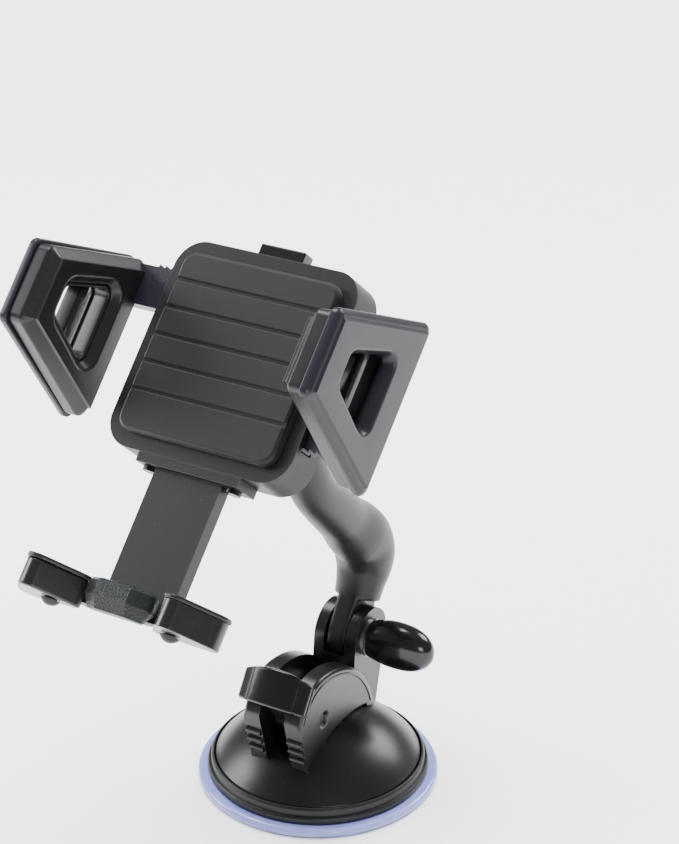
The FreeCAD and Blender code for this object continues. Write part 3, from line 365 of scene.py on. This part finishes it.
def mix_colours(tree, mask, first, second):
    """Colour between two, by a mask socket. Each is a colour or a socket. Gives the output socket."""
    node = tree.nodes.new("ShaderNodeMix")
    node.data_type = "RGBA"
    tree.links.new(mask, node.inputs["Factor"])
    for label, value in (("A", first), ("B", second)):
        socket = [item for item in node.inputs if item.name == label and item.type == "RGBA"][0]
        if isinstance(value, tuple):
            socket.default_value = value + (1.0,)
        else:
            tree.links.new(value, socket)
    return [item for item in node.outputs if item.type == "RGBA"][0]


def add_bump(tree, shader, height, distance, strength=1.0):
    """Bump of a given depth in millimetres into a shader."""
    bump = tree.nodes.new("ShaderNodeBump")
    bump.inputs["Distance"].default_value = distance * MM
    bump.inputs["Strength"].default_value = strength
    tree.links.new(height, bump.inputs["Height"])
    tree.links.new(bump.outputs["Normal"], shader.inputs["Normal"])


def moulded(name, colour, rough, grain=2200.0, depth=0.5, bump=0.03, wear=2.5, marks=0.12, coat=0.0,
            worn=(0.06, 0.06, 0.066), pebble=0.0, sheen=0.0, gloss=0.3):
    """Black plastic or rubber with grain, pale worn edges and handling marks."""
    material, tree, shader = start_material(name)
    marked = place_group(tree, "marks", Amount=marks)
    edges = place_group(tree, "wear", Radius=0.0005, Strength=wear)
    if pebble:
        height = place_group(tree, "pebble", Scale=pebble, Depth=depth).outputs["Height"]
    else:
        height = place_group(tree, "grain", Scale=grain, Depth=depth).outputs["Height"]
    dusty = mix_colours(tree, marked.outputs["Dust"], colour, (0.16, 0.16, 0.16))
    tree.links.new(mix_colours(tree, edges.outputs["Mask"], dusty, worn), shader.inputs["Base Color"])
    tree.links.new(maths(tree, "ADD", marked.outputs["Haze"], rough), shader.inputs["Roughness"])
    shader.inputs["Specular IOR Level"].default_value = gloss
    shader.inputs["Coat Weight"].default_value = coat
    shader.inputs["Coat Roughness"].default_value = 0.12
    shader.inputs["Sheen Weight"].default_value = sheen
    shader.inputs["Sheen Roughness"].default_value = 0.4
    add_bump(tree, shader, height, bump)
    return material


# %% Steel and gel
def metal(name, colour, rough, brush):
    """Plated or oiled metal with the fine lines of drawing and turning."""
    material, tree, shader = start_material(name)
    shader.inputs["Metallic"].default_value = 1.0
    lines = noise_at(tree, brush, 3.0, (1.0, 0.08, 1.0))
    marked = place_group(tree, "marks", Amount=0.2)
    darker = tuple(value * 0.7 for value in colour)
    tree.links.new(mix_colours(tree, lines, darker, colour), shader.inputs["Base Color"])
    tree.links.new(maths(tree, "ADD", marked.outputs["Haze"], rough), shader.inputs["Roughness"])
    add_bump(tree, shader, lines, 0.01)
    return material


def jelly(name):
    """Clear lavender gel that glows where light gets into its rim."""
    material, tree, shader = start_material(name)
    cloud = noise_at(tree, 40.0, 2.0)
    tint = mix_colours(tree, cloud, (0.26, 0.30, 0.82), (0.42, 0.47, 0.95))
    tree.links.new(tint, shader.inputs["Base Color"])
    marked = place_group(tree, "marks", Amount=0.15)
    tree.links.new(maths(tree, "ADD", marked.outputs["Haze"], 0.16), shader.inputs["Roughness"])
    shader.inputs["Transmission Weight"].default_value = 0.45
    shader.inputs["IOR"].default_value = 1.43
    shader.inputs["Coat Weight"].default_value = 0.6
    shader.inputs["Coat Roughness"].default_value = 0.08
    add_bump(tree, shader, cloud, 0.05)
    return material


# %% Every finish by its slot
SATIN = (0.006, 0.006, 0.007)
finishes = {
    "gel": jelly("lavender_gel"),
    "ring_black": moulded("ring_elastomer", (0.006, 0.006, 0.0065), 0.40, wear=1.0, depth=0.35),
    "dome_black": moulded("dome_satin", (0.004, 0.004, 0.0045), 0.32, wear=0.9, depth=0.25,
                          worn=(0.035, 0.035, 0.038), gloss=0.4),
    "inner_plastic": moulded("natural_acetal", (0.45, 0.44, 0.41), 0.42, worn=(0.6, 0.6, 0.58)),
    "steel": metal("zinc_plate", (0.62, 0.62, 0.60), 0.30, 700.0),
    "spring_steel": metal("spring_wire", (0.45, 0.45, 0.46), 0.28, 1200.0),
    "lever_black": moulded("lever_satin", SATIN, 0.36, depth=0.3),
    "gloss_black": moulded("polished_black", (0.004, 0.004, 0.0045), 0.22, depth=0.12, bump=0.012,
                           wear=1.2, marks=0.05, coat=0.3),
    "arm_black": moulded("arm_satin", (0.007, 0.0062, 0.007), 0.40, depth=0.35, wear=1.5),
    "ball_grey": moulded("ball_nylon", (0.012, 0.012, 0.013), 0.46, depth=0.6),
    "collar_black": moulded("collar_satin", SATIN, 0.42),
    "case_black": moulded("case_satin", SATIN, 0.44, grain=1700.0, depth=0.7),
    "screw_black": metal("black_oxide", (0.035, 0.035, 0.037), 0.36, 900.0),
    "pad_rubber": moulded("pad_rubber", (0.006, 0.006, 0.007), 0.55, grain=1400.0, wear=0.8, sheen=0.1),
    "jaw_black": moulded("jaw_satin", (0.008, 0.0074, 0.012), 0.34, grain=2000.0, depth=0.45,
                         worn=(0.060, 0.058, 0.080), gloss=0.36),
    "jaw_rubber": moulded("jaw_rubber", (0.006, 0.006, 0.0072), 0.33, grain=1500.0, depth=0.4, wear=1.0,
                          gloss=0.42),
    "foot_black": moulded("foot_satin", (0.006, 0.0056, 0.0065), 0.27, depth=0.3, gloss=0.5),
    "foot_rubber": moulded("foot_rubber", (0.007, 0.0068, 0.0075), 0.36, depth=0.4, wear=0.6, gloss=0.4),
    "leather_rubber": moulded("leather_rubber", (0.007, 0.0088, 0.0096), 0.40, depth=0.8, bump=0.08,
                              pebble=1150.0, wear=0.8, worn=(0.03, 0.035, 0.038)),
}


def fit(piece, body, slot, *replaced):
    """Gives a new piece its finish and its body, and hides the solids that it stands for."""
    piece.data.materials.append(finishes[slot])
    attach(piece, body)
    if replaced:
        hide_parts(*replaced)
    print(piece.name, "on", body, "faces", len(getattr(piece.data, "polygons", ())))
    return piece


# %% Finishes for the solids that stay
# The lever's pin shows only a blackened end, so it leaves the steel finish of its slot.
for part in frame["record"]["subparts"]:
    solid = nodes[part["node"]].data
    solid.materials.clear()
    solid.materials.append(finishes[part["material_slot"]])
nodes["lever_pin"].data.materials[0] = finishes["screw_black"]

# %% [markdown]
# ## The sucker: gel disc, ring and dome
# These three are turned shapes, so each is a profile spun round the upright axis. A profile of a few
# points with arcs for the lips keeps the rims crisp. The gel has a raised rounded lip that catches
# the light, the ring has two soft tiers with a groove between, and the dome is a shallow cap of a
# large sphere.
# %% Gel disc
gel_high = size_in(base_axes, "gel_pad")[1]
lip, axis_gap = 1.15, 0.01
profile = [(axis_gap, 0.0), (gel_high.x - 0.7, 0.0)]
profile += arc((gel_high.x - 1.0, 1.0), 1.0, -90, 0, 6)
profile += arc((gel_high.x - lip, gel_high.z - lip), lip, 0, 100, 8)
profile += [(gel_high.x - 1.9, gel_high.z - 0.22), (gel_high.x - 2.6, gel_high.z - 0.05),
            (axis_gap, gel_high.z - 0.05)]
fit(lathe("gel_disc", profile, base_axes, 160), "base", "gel", "gel_pad")

# %% Two-tier ring
ring_low, ring_high = size_in(base_axes, "cup_ring")
tier, tier_height, bore, tier_round = 1.05, 2.3, 26.0, 0.9
ledge = ring_low.z + tier_height
upper = ring_high.x - tier
seat = 28.75
profile = [(bore, ring_low.z), (ring_high.x - 0.5, ring_low.z)]
profile += arc((ring_high.x - 0.5, ring_low.z + 0.5), 0.5, -90, 0, 4)
profile += arc((ring_high.x - tier_round, ledge - tier_round), tier_round, 0, 80, 6)
profile += [(upper + 0.12, ledge - 0.12), (upper - 0.05, ledge + 0.1)]
profile += arc((upper - tier_round, ring_high.z - tier_round), tier_round, 0, 90, 6)
profile += arc((seat + 0.35, ring_high.z - 0.35), 0.35, 90, 180, 4)
profile += [(seat, ledge), (bore, ledge)]
fit(lathe("cup_ring_moulded", profile, base_axes, 160, closed=True), "base", "ring_black", "cup_ring")

# %% Dome
dome_low, dome_high = size_in(base_axes, "dome_cover")
wall, rim_height, stem_hole = 1.8, 2.4, 2.9
spring_line = dome_low.z + rim_height
rise = dome_high.z - spring_line


def cap(radius, height, inner_radius, steps=26):
    """Part of a sphere from the rim up to a radius near the axis."""
    sphere = (radius ** 2 + height ** 2) / (2 * height)
    points = []
    for step in range(steps + 1):
        reach = radius + (inner_radius - radius) * step / steps
        points.append((reach, spring_line + height - sphere + math.sqrt(sphere ** 2 - reach ** 2)))
    return points


outer = cap(dome_high.x - 0.25, rise, stem_hole)
inner = cap(dome_high.x - wall, rise - wall, stem_hole)
profile = [(dome_high.x, dome_low.z + 0.3), (dome_high.x, spring_line - 0.45),
           (dome_high.x - 0.08, spring_line - 0.15)]
profile += outer + inner[::-1] + [(dome_high.x - wall, dome_low.z)]
profile += [(dome_high.x - 0.3, dome_low.z)]
fit(lathe("dome_moulded", profile, base_axes, 160, closed=True), "base", "dome_black", "dome_cover")

# %% [markdown]
# ## The tower and the lock lever
# Two crescent cheeks carry the lever's pin in front and the arm's knuckle behind. The solid has the
# right outlines but razor edges, so a soft copy rounds them as the mould does. The raised bead along
# each cheek's top edge is a curve with a round section, which follows the same two arcs.
# %% Tower with its beads
cheek_face, rim_foot_z, sharp_turn = 9.0, 17.5, 0.9


def on_cheek_rim(edge):
    """True for a sharp edge of a cheek's outer face along its front or its spine."""
    first, second = edge.verts[0].co / MM, edge.verts[1].co / MM
    outside = min(abs(first.x), abs(second.x)) > cheek_face - 0.02
    return outside and min(first.z, second.z) > rim_foot_z and edge.calc_face_angle(0) > sharp_turn


tower = soft_copy("tower", "tower_moulded", 0.4, broad=on_cheek_rim)
fit(tower, "base", "dome_black", "tower")
pin = Vector(joints["lever_lock"]["pos_m"]) / MM
front_radius, spine_back_y, spine_back_z, bead_inset = 13.2, 15.4, 18.2, 1.9
front_arc = arc((pin.y, pin.z), front_radius - bead_inset, 160, 86, 14)
back_point = Vector((spine_back_y - bead_inset, spine_back_z + 0.2))
top_point = Vector(front_arc[-1])


def bulged(start, end, sag, steps=16):
    """Arc between two points that stands off its chord by sag."""
    chord = end - start
    radius = (chord.length ** 2 / 4 + sag ** 2) / (2 * sag)
    middle = (start + end) / 2
    normal = Vector((chord.y, -chord.x)).normalized() * -1
    centre = middle - normal * (radius - sag)
    points = []
    first = math.atan2(start.y - centre.y, start.x - centre.x)
    last = math.atan2(end.y - centre.y, end.x - centre.x)
    turn = (last - first + math.pi) % (2 * math.pi) - math.pi
    for step in range(steps + 1):
        angle = first + turn * step / steps
        points.append((centre.x + radius * math.cos(angle), centre.y + radius * math.sin(angle)))
    return points


spine = bulged(top_point, back_point, 4.9)
for point in (front_arc[0], spine[0], spine[-1]):
    print("bead passes", [round(value, 1) for value in point])


def tube_along(name, points, axes, radius):
    """Round bead along a list of points."""
    curve = bpy.data.curves.new(name, "CURVE")
    curve.dimensions = "3D"
    curve.bevel_depth = radius * MM
    curve.bevel_resolution = 4
    curve.use_fill_caps = True
    line = curve.splines.new("POLY")
    line.points.add(len(points) - 1)
    for target, point in zip(line.points, points):
        target.co = (axes @ Vector(point)).to_4d()
    bead = bpy.data.objects.new(name, curve)
    bpy.context.scene.collection.objects.link(bead)
    return bead


for side, label in ((1, "right"), (-1, "left")):
    path = [(side * (cheek_face - 0.05), y, z) for y, z in front_arc + spine[1:]]
    fit(tube_along("cheek_bead_" + label, path, base_axes, 0.3), "base", "dome_black")

# %% Lock lever and its bowed grip
fit(soft_copy("lock_lever", "lock_lever_moulded", 0.35), "lever", "lever_black", "lock_lever")
lean = math.radians(-34.5)
tab_turn = Matrix.Rotation(lean, 4, "X") @ base_axes
tab_low, tab_high = size_in(tab_turn, "lever_tab")
bow, thick, crown = 22.0, 2.2, 2.0
half_height = (tab_high.z - tab_low.z) / 2
tab_middle = (tab_high.z + tab_low.z) / 2
groove_at, end_round = 7.3, 0.9
section = corners(-half_height, half_height, 0, thick, 0.75)


def bow_inset(x):
    """How much the grip's section shrinks at a distance from its middle: two grooves and round ends."""
    to_end = tab_high.x - abs(x)
    if to_end < end_round:
        return end_round * 0.7 * (1 - math.sqrt(1 - (1 - to_end / end_round) ** 2))
    return 0.32 if abs(abs(x) - groove_at) < 0.3 else 0.0


places = [step * 0.5 for step in range(-20, 21)]
groove_edges = [groove_at + shift for shift in (-0.45, -0.28, 0.28, 0.45)]
end_steps = [10.3, 10.6, 10.85, 10.99]
places += [side * value for side in (-1, 1) for value in groove_edges + end_steps]
loops = []
for x in sorted(places):
    angle = math.asin(x / bow)
    loop = []
    fall = crown * abs(x / tab_high.x) ** 2.2
    for z, depth in belt(section, -bow_inset(x), 4):
        z -= fall * max(z / half_height, 0)
        reach = bow - depth
        loop.append((reach * math.sin(angle), tab_low.y + bow - reach * math.cos(angle), tab_middle + z))
    loops.append(loop)
grip = fit(skin("lever_grip", loops, tab_turn), "lever", "gloss_black", "lever_tab")
round_edges(grip, 0.15, 2, 50)

# %% [markdown]
# ## Hinge knob and arm
# The knob is egg-shaped and flattened, which is a stack of ovals whose two half widths swell from
# the root and then close to a round tip. The arm is one moulding whose round limb melts into a flat
# tongue. Two overlapping closed skins and a voxel remesh weld that blend better than any bridge
# made by hand.
# %% Knob
knob_low, knob_high = size_in(base_axes, "wing_knob")
hinge = Vector(joints["knob_turn"]["pos_m"]) / MM
knob_length = knob_high.x - knob_low.x
widest, root_radius, half_height, half_depth = 0.40, 5.1, 6.85, 5.2
rings, ring_points, squareness = 48, 56, 0.92


def egg_half(share, most):
    """Half width of the knob at a share of its length: swelling from the root, then a round tip."""
    if share < widest:
        return root_radius + (most - root_radius) * math.sin(math.pi / 2 * share / widest)
    past = (share - widest) / (1 - widest)
    return most * math.sqrt(max(1 - past ** 2.6, 0.0006))


loops = []
for step in range(rings + 1):
    share = 1 - (1 - step / rings) ** 1.5
    tall, deep = egg_half(share, half_height), egg_half(share, half_depth)
    loop = []
    for index in range(ring_points):
        angle = 2 * math.pi * index / ring_points
        y = deep * math.copysign(abs(math.cos(angle)) ** squareness, math.cos(angle))
        z = tall * math.copysign(abs(math.sin(angle)) ** squareness, math.sin(angle))
        loop.append((knob_low.x + share * knob_length, hinge.y + y, hinge.z + z))
    loops.append(loop)
fit(skin("knob_moulded", loops, base_axes), "knob", "gloss_black", "wing_knob")

# %% Arm
tip = Vector((ball_centre.y, ball_centre.z)) / MM
route = [Vector((hinge.y, hinge.z)), Vector((28.0, 58.5)), Vector((-2.0, 90.0)), tip]
bend_radii, limb_start, stud_clear = (11.5, 40.0), 9.4, 15.0


def rounded_route(points, radii, spacing=1.4):
    """Places and headings along a path in the plane x = 0, its corners rounded by arcs."""
    stations = []
    start = points[0]
    for index in range(1, len(points) - 1):
        here, after = points[index], points[index + 1]
        into = (here - start).normalized()
        away = (after - here).normalized()
        turn = into.angle_signed(away) * -1
        setback = radii[index - 1] * math.tan(abs(turn) / 2)
        enter = here - into * setback
        stations += [(start.lerp(enter, step / 12), into) for step in range(12)]
        side = 1 if turn > 0 else -1
        centre = enter + Vector((-into.y, into.x)) * side * radii[index - 1]
        spoke = enter - centre
        for step in range(15):
            spin = Matrix.Rotation(turn * step / 14, 2)
            stations.append((centre + spin @ spoke, spin @ into))
        start = centre + Matrix.Rotation(turn, 2) @ spoke
    final = (points[-1] - start).normalized()
    end = points[-1] - final * stud_clear
    stations += [(start.lerp(end, step / 16), final) for step in range(1, 17)]
    return stations


def between(table, at):
    """Smooth value between (place, value) rows."""
    for (low, first), (high, second) in zip(table, table[1:]):
        if at <= high:
            share = (at - low) / (high - low)
            share = share * share * (3 - 2 * share)
            return first + (second - first) * share
    return table[-1][1]


stations = rounded_route(route, bend_radii)
start = next(index for index, (place, _) in enumerate(stations)
             if (place - route[0]).length > limb_start)
stations = stations[start:]
lengths = [0.0]
for (here, _), (after, _) in zip(stations, stations[1:]):
    lengths.append(lengths[-1] + (after - here).length)
girth = [(0, 6.5), (0.17, 8.5), (0.26, 8.6), (0.42, 7.2), (0.72, 6.5), (1.0, 5.6)]
limb_points = 40
loops = []
for (place, heading), length in zip(stations, lengths):
    radius = between(girth, length / lengths[-1])
    side = Vector((0, -heading.y, heading.x))
    loop = []
    for index in range(limb_points):
        angle = 2 * math.pi * index / limb_points
        across = Vector((radius * math.cos(angle), place.x, place.y))
        loop.append(across + side * radius * math.sin(angle))
    loops.append(loop)
limb = skin("arm_moulded", loops, base_axes)
tongue_half, tongue_length, chamfer = 2.95, 12.4, 0.4
leg = (stations[2][0] - route[0]).normalized()
foot_at = route[0] + leg * tongue_length
tongue_outline = [(hinge.y, hinge.z, 8.1), (foot_at.x, foot_at.y, 5.7)]
sections = [(-tongue_half, -chamfer), (-tongue_half + chamfer, 0),
            (tongue_half - chamfer, 0), (tongue_half, -chamfer)]
loops = [[(x, y, z) for y, z in belt(tongue_outline, grow, 20)] for x, grow in sections]
tongue = skin("arm_tongue", loops, base_axes)
merge(limb, tongue)
weld = limb.modifiers.new("weld_skins", "REMESH")
weld.mode = "VOXEL"
weld.voxel_size = 0.42 * MM
weld.use_smooth_shade = True
soften = limb.modifiers.new("soften", "SMOOTH")
soften.factor = 0.6
soften.iterations = 7
fit(limb, "arm", "arm_black", "arm")

# %% [markdown]
# ## Cradle jaws
# Each jaw is a hard shell outside and a thick rubber grip inside, with a window through both. Shell
# and window are both belts with four corners, so the whole jaw is one ring of loops: up the
# outside, over the bevels, across the face, down the window and back. The left jaw is the same
# drawing turned half round the axis. Both jaws reach further down the phone than up, so each
# drawing moves along to the middle of its solid. A rib crosses both windows, and a thin web closes
# the right one.
# %% Jaw outlines
shell_low, shell_high = size_in(cradle_axes, "right_jaw_shell")
face = size_in(cradle_axes, "right_jaw_pad")[0].x
front_half, shell_corner, jaw_corner = 11.8, 2.5, 3.5
window = {"back": 25.0, "front": 41.5, "back_half": 9.2, "front_half": 4.4, "corner": 2.0}


def taper(back, front, back_half, front_half, corner):
    """Circles for a jaw outline, (along the phone, out from the ball), wide at the back."""
    back_x, front_x = back_half - corner, front_half - corner
    return [(-back_x, back + corner, corner), (back_x, back + corner, corner),
            (front_x, front - corner, corner), (-front_x, front - corner, corner)]


jaw_half = (shell_high.y - shell_low.y) / 2
shell_outline = taper(shell_low.z, shell_high.z, jaw_half, front_half, shell_corner)
jaw_outline = taper(shell_low.z, shell_high.z, jaw_half, front_half, jaw_corner)
window_outline = taper(**window)


def stack(rows, shift):
    """Loops from (x, outline, grow) rows, moved along the phone by a shift."""
    return [[(x, y + shift, z) for y, z in belt(outline, grow)] for x, outline, grow in rows]


# %% Jaw shells and grips
joint_face, outside = shell_low.x, shell_high.x
shell_rows = [(joint_face, window_outline, 0.0), (joint_face, shell_outline, -0.35),
              (joint_face + 0.35, shell_outline, 0.0), (outside - 2.0, shell_outline, 0.0),
              (outside - 1.5, shell_outline, -0.22), (outside - 0.95, shell_outline, -0.9),
              (outside - 0.75, shell_outline, -1.25), (outside - 0.62, shell_outline, -2.0),
              (outside - 0.18, shell_outline, -2.35), (outside, shell_outline, -2.7),
              (outside, window_outline, 2.3), (outside - 0.15, window_outline, 1.7),
              (outside - 0.55, window_outline, 1.25), (outside - 1.6, window_outline, 0.75),
              (joint_face + 0.8, window_outline, 0.1)]
outer_steps = [(3.7, -0.8), (3.1, -1.15), (0.95, -4.1), (0.3, -4.8), (0.0, -5.5)]
inner_steps = [(0.0, 3.6), (0.25, 3.1), (1.9, 1.9), (2.3, 1.6), (2.35, 1.2), (2.1, 0.95),
               (2.1, 0.5), (2.5, 0.2), (4.2, 0.2)]
pad_rows = [(joint_face, window_outline, 0.6), (joint_face, jaw_outline, -1.1),
            (joint_face - 0.3, jaw_outline, -0.8)]
pad_rows += [(face + rise, jaw_outline, grow) for rise, grow in outer_steps]
pad_rows += [(face + rise, window_outline, grow) for rise, grow in inner_steps]
for label, axes in (("right", cradle_axes), ("left", left_axes)):
    here_low, here_high = size_in(axes, label + "_jaw_shell")
    shift = (here_low.y + here_high.y) / 2
    shell = skin(label + "_jaw_shell_moulded", stack(shell_rows, shift), axes, closed=True)
    round_edges(shell, 0.18, 2, 24)
    fit(shell, label + "_jaw", "jaw_black", label + "_jaw_shell")
    pad = skin(label + "_jaw_grip", stack(pad_rows, shift), axes, closed=True)
    round_edges(pad, 0.22, 2, 24)
    fit(pad, label + "_jaw", "jaw_rubber", label + "_jaw_pad")
    rib_z = (window["back"] + window["front"]) / 2 - 0.4
    rib = corners(face + 3.2, joint_face + 1.0, rib_z - 1.5, rib_z + 1.5, 0.9)
    loops = [[(x, y + shift, z) for x, z in belt(rib, 0, 5)] for y in (-8.0, -4.0, 0.0, 4.0, 8.0)]
    fit(skin(label + "_jaw_rib", loops, axes), label + "_jaw", "jaw_rubber")
    if label == "right":
        web_rows = [(joint_face - 1.6, window_outline, 0.35), (joint_face - 0.8, window_outline, 0.35)]
        fit(skin("right_window_web", stack(web_rows, shift), axes), "right_jaw", "jaw_rubber")

# %% [markdown]
# ## Cradle housing, feet and centre pad
# The rest of the cradle is plain blocks and plates, so soft copies of the solids serve, with radii
# to match each piece's size. The centre pad between the feet is its own drawing, because its chamfered sides and
# leather pebbles are what the eye meets there.
# %% Soft copies
copies = [("rear_cover", "rear_cover_moulded", 0.7, "cradle", "case_black"),
          ("front_cover", "front_cover_moulded", 0.5, "cradle", "case_black"),
          ("back_pad", "back_pad_moulded", 0.25, "cradle", "pad_rubber"),
          ("bottom_bracket", "bottom_bracket_moulded", 0.4, "cradle", "case_black"),
          ("lock_nut", "lock_nut_moulded", 0.35, "collar", "collar_black"),
          ("seat_ring", "seat_ring_turned", 0.15, "seat", "inner_plastic"),
          ("release_button", "release_button_moulded", 0.5, "release", "gloss_black"),
          ("right_rack_arm", "right_rack_moulded", 0.12, "right_jaw", "jaw_black"),
          ("left_rack_arm", "left_rack_moulded", 0.12, "left_jaw", "jaw_black")]
for side in ("left", "right"):
    copies.append((side + "_foot", side + "_foot_moulded", 0.9, side + "_foot", "foot_black"))
    copies.append((side + "_foot_pad", side + "_foot_sole", 0.45, side + "_foot", "foot_rubber"))
for node, name, width, body, slot in copies:
    fit(soft_copy(node, name, width), body, slot, node)

# %% Centre pad
centre_low, centre_high = size_in(cradle_axes, "centre_pad")
front = centre_high.z
pad_plan = [(-7.4, front - 6.0, 2.2), (7.4, front - 6.0, 2.2), (8.4, front - 4.2, 2.0),
            (4.6, front - 2.0, 2.0), (-4.6, front - 2.0, 2.0), (-8.4, front - 4.2, 2.0)]
rows = [(centre_high.y, -1.3), (centre_high.y - 0.25, -0.6), (centre_high.y - 0.9, 0.0),
        (centre_low.y + 5.4, 0.0), (centre_low.y + 4.9, -0.35), (centre_low.y + 2.6, -1.75),
        (centre_low.y + 2.2, -2.2)]
loops = [[(x, y, z) for x, z in belt(pad_plan, grow)] for y, grow in rows]
centre_pad = skin("centre_pad_leather", loops, cradle_axes)
round_edges(centre_pad, 0.5, 3, 20)
fit(centre_pad, "cradle", "leather_rubber", "centre_pad")

# %% [markdown]
# ## Floor, light and camera
# A pale floor and soft square lights show black plastic by the highlights on its curves: a crown
# above, a key on the left, a fill on the right and one behind for the rims. The wide ceiling light
# brightens everything but isn't mirrored, or every curve would turn grey. The camera looks down
# from the front right with a long lens, as in a catalogue.
# %% Floor
bpy.ops.mesh.primitive_plane_add(size=6.0, location=(0, 0, cad_box[0].z - 0.0002))
floor = bpy.context.object
floor.name = "studio_floor"
paper, paper_tree, paper_shader = start_material("pale_paper")
fibre = noise_at(paper_tree, 900.0, 3.0)
paper_tree.links.new(mix_colours(paper_tree, fibre, (0.90, 0.90, 0.90), (0.94, 0.94, 0.94)),
                     paper_shader.inputs["Base Color"])
paper_shader.inputs["Roughness"].default_value = 0.9
paper_shader.inputs["Specular IOR Level"].default_value = 0.1
floor.data.materials.append(paper)


# %% Lights
def soft_light(name, place, size, power, mirrored=True):
    """Square area light that faces the middle of the mount. Gloss shows it only if it is mirrored."""
    lamp = bpy.data.lights.new(name, "AREA")
    lamp.size = size
    lamp.energy = power
    light = bpy.data.objects.new(name, lamp)
    light.location = place
    light.visible_glossy = mirrored
    aim = (cad_box[0] + cad_box[1]) / 2 - light.location
    light.rotation_euler = aim.to_track_quat("-Z", "Y").to_euler()
    bpy.context.scene.collection.objects.link(light)


soft_light("ceiling", (0.0, 0.0, 1.8), 2.4, 150, mirrored=False)
soft_light("crown", (-0.45, 0.25, 1.05), 0.45, 10)
soft_light("key", (-0.85, -0.25, 0.45), 0.40, 7)
soft_light("fill", (0.75, -0.65, 0.35), 0.30, 3)
soft_light("back", (0.35, 0.85, 0.70), 0.45, 9)
world = bpy.data.worlds.new("studio")
world.use_nodes = True
world.node_tree.nodes["Background"].inputs["Color"].default_value = (1.0, 1.0, 1.0, 1.0)
world.node_tree.nodes["Background"].inputs["Strength"].default_value = 0.30
bpy.context.scene.world = world

# %% Camera
view_side = Vector((0.8637, 0.5041, 0.0))
view_up = Vector((-0.2353, 0.4032, 0.8844))
view_back = view_side.cross(view_up)
camera_data = bpy.data.cameras.new("camera")
camera_data.sensor_width = 36.0
camera_data.lens = 135.28
camera = bpy.data.objects.new("camera", camera_data)
turn = Matrix((view_side, view_up, view_back)).transposed().to_4x4()
sideways, upwards, away = 0.00597, 0.09665, 0.88282
place = view_side * sideways + view_up * upwards + view_back * away
camera.matrix_world = Matrix.Translation(place) @ turn
bpy.context.scene.collection.objects.link(camera)
bpy.context.scene.camera = camera

bpy.context.view_layer.update()
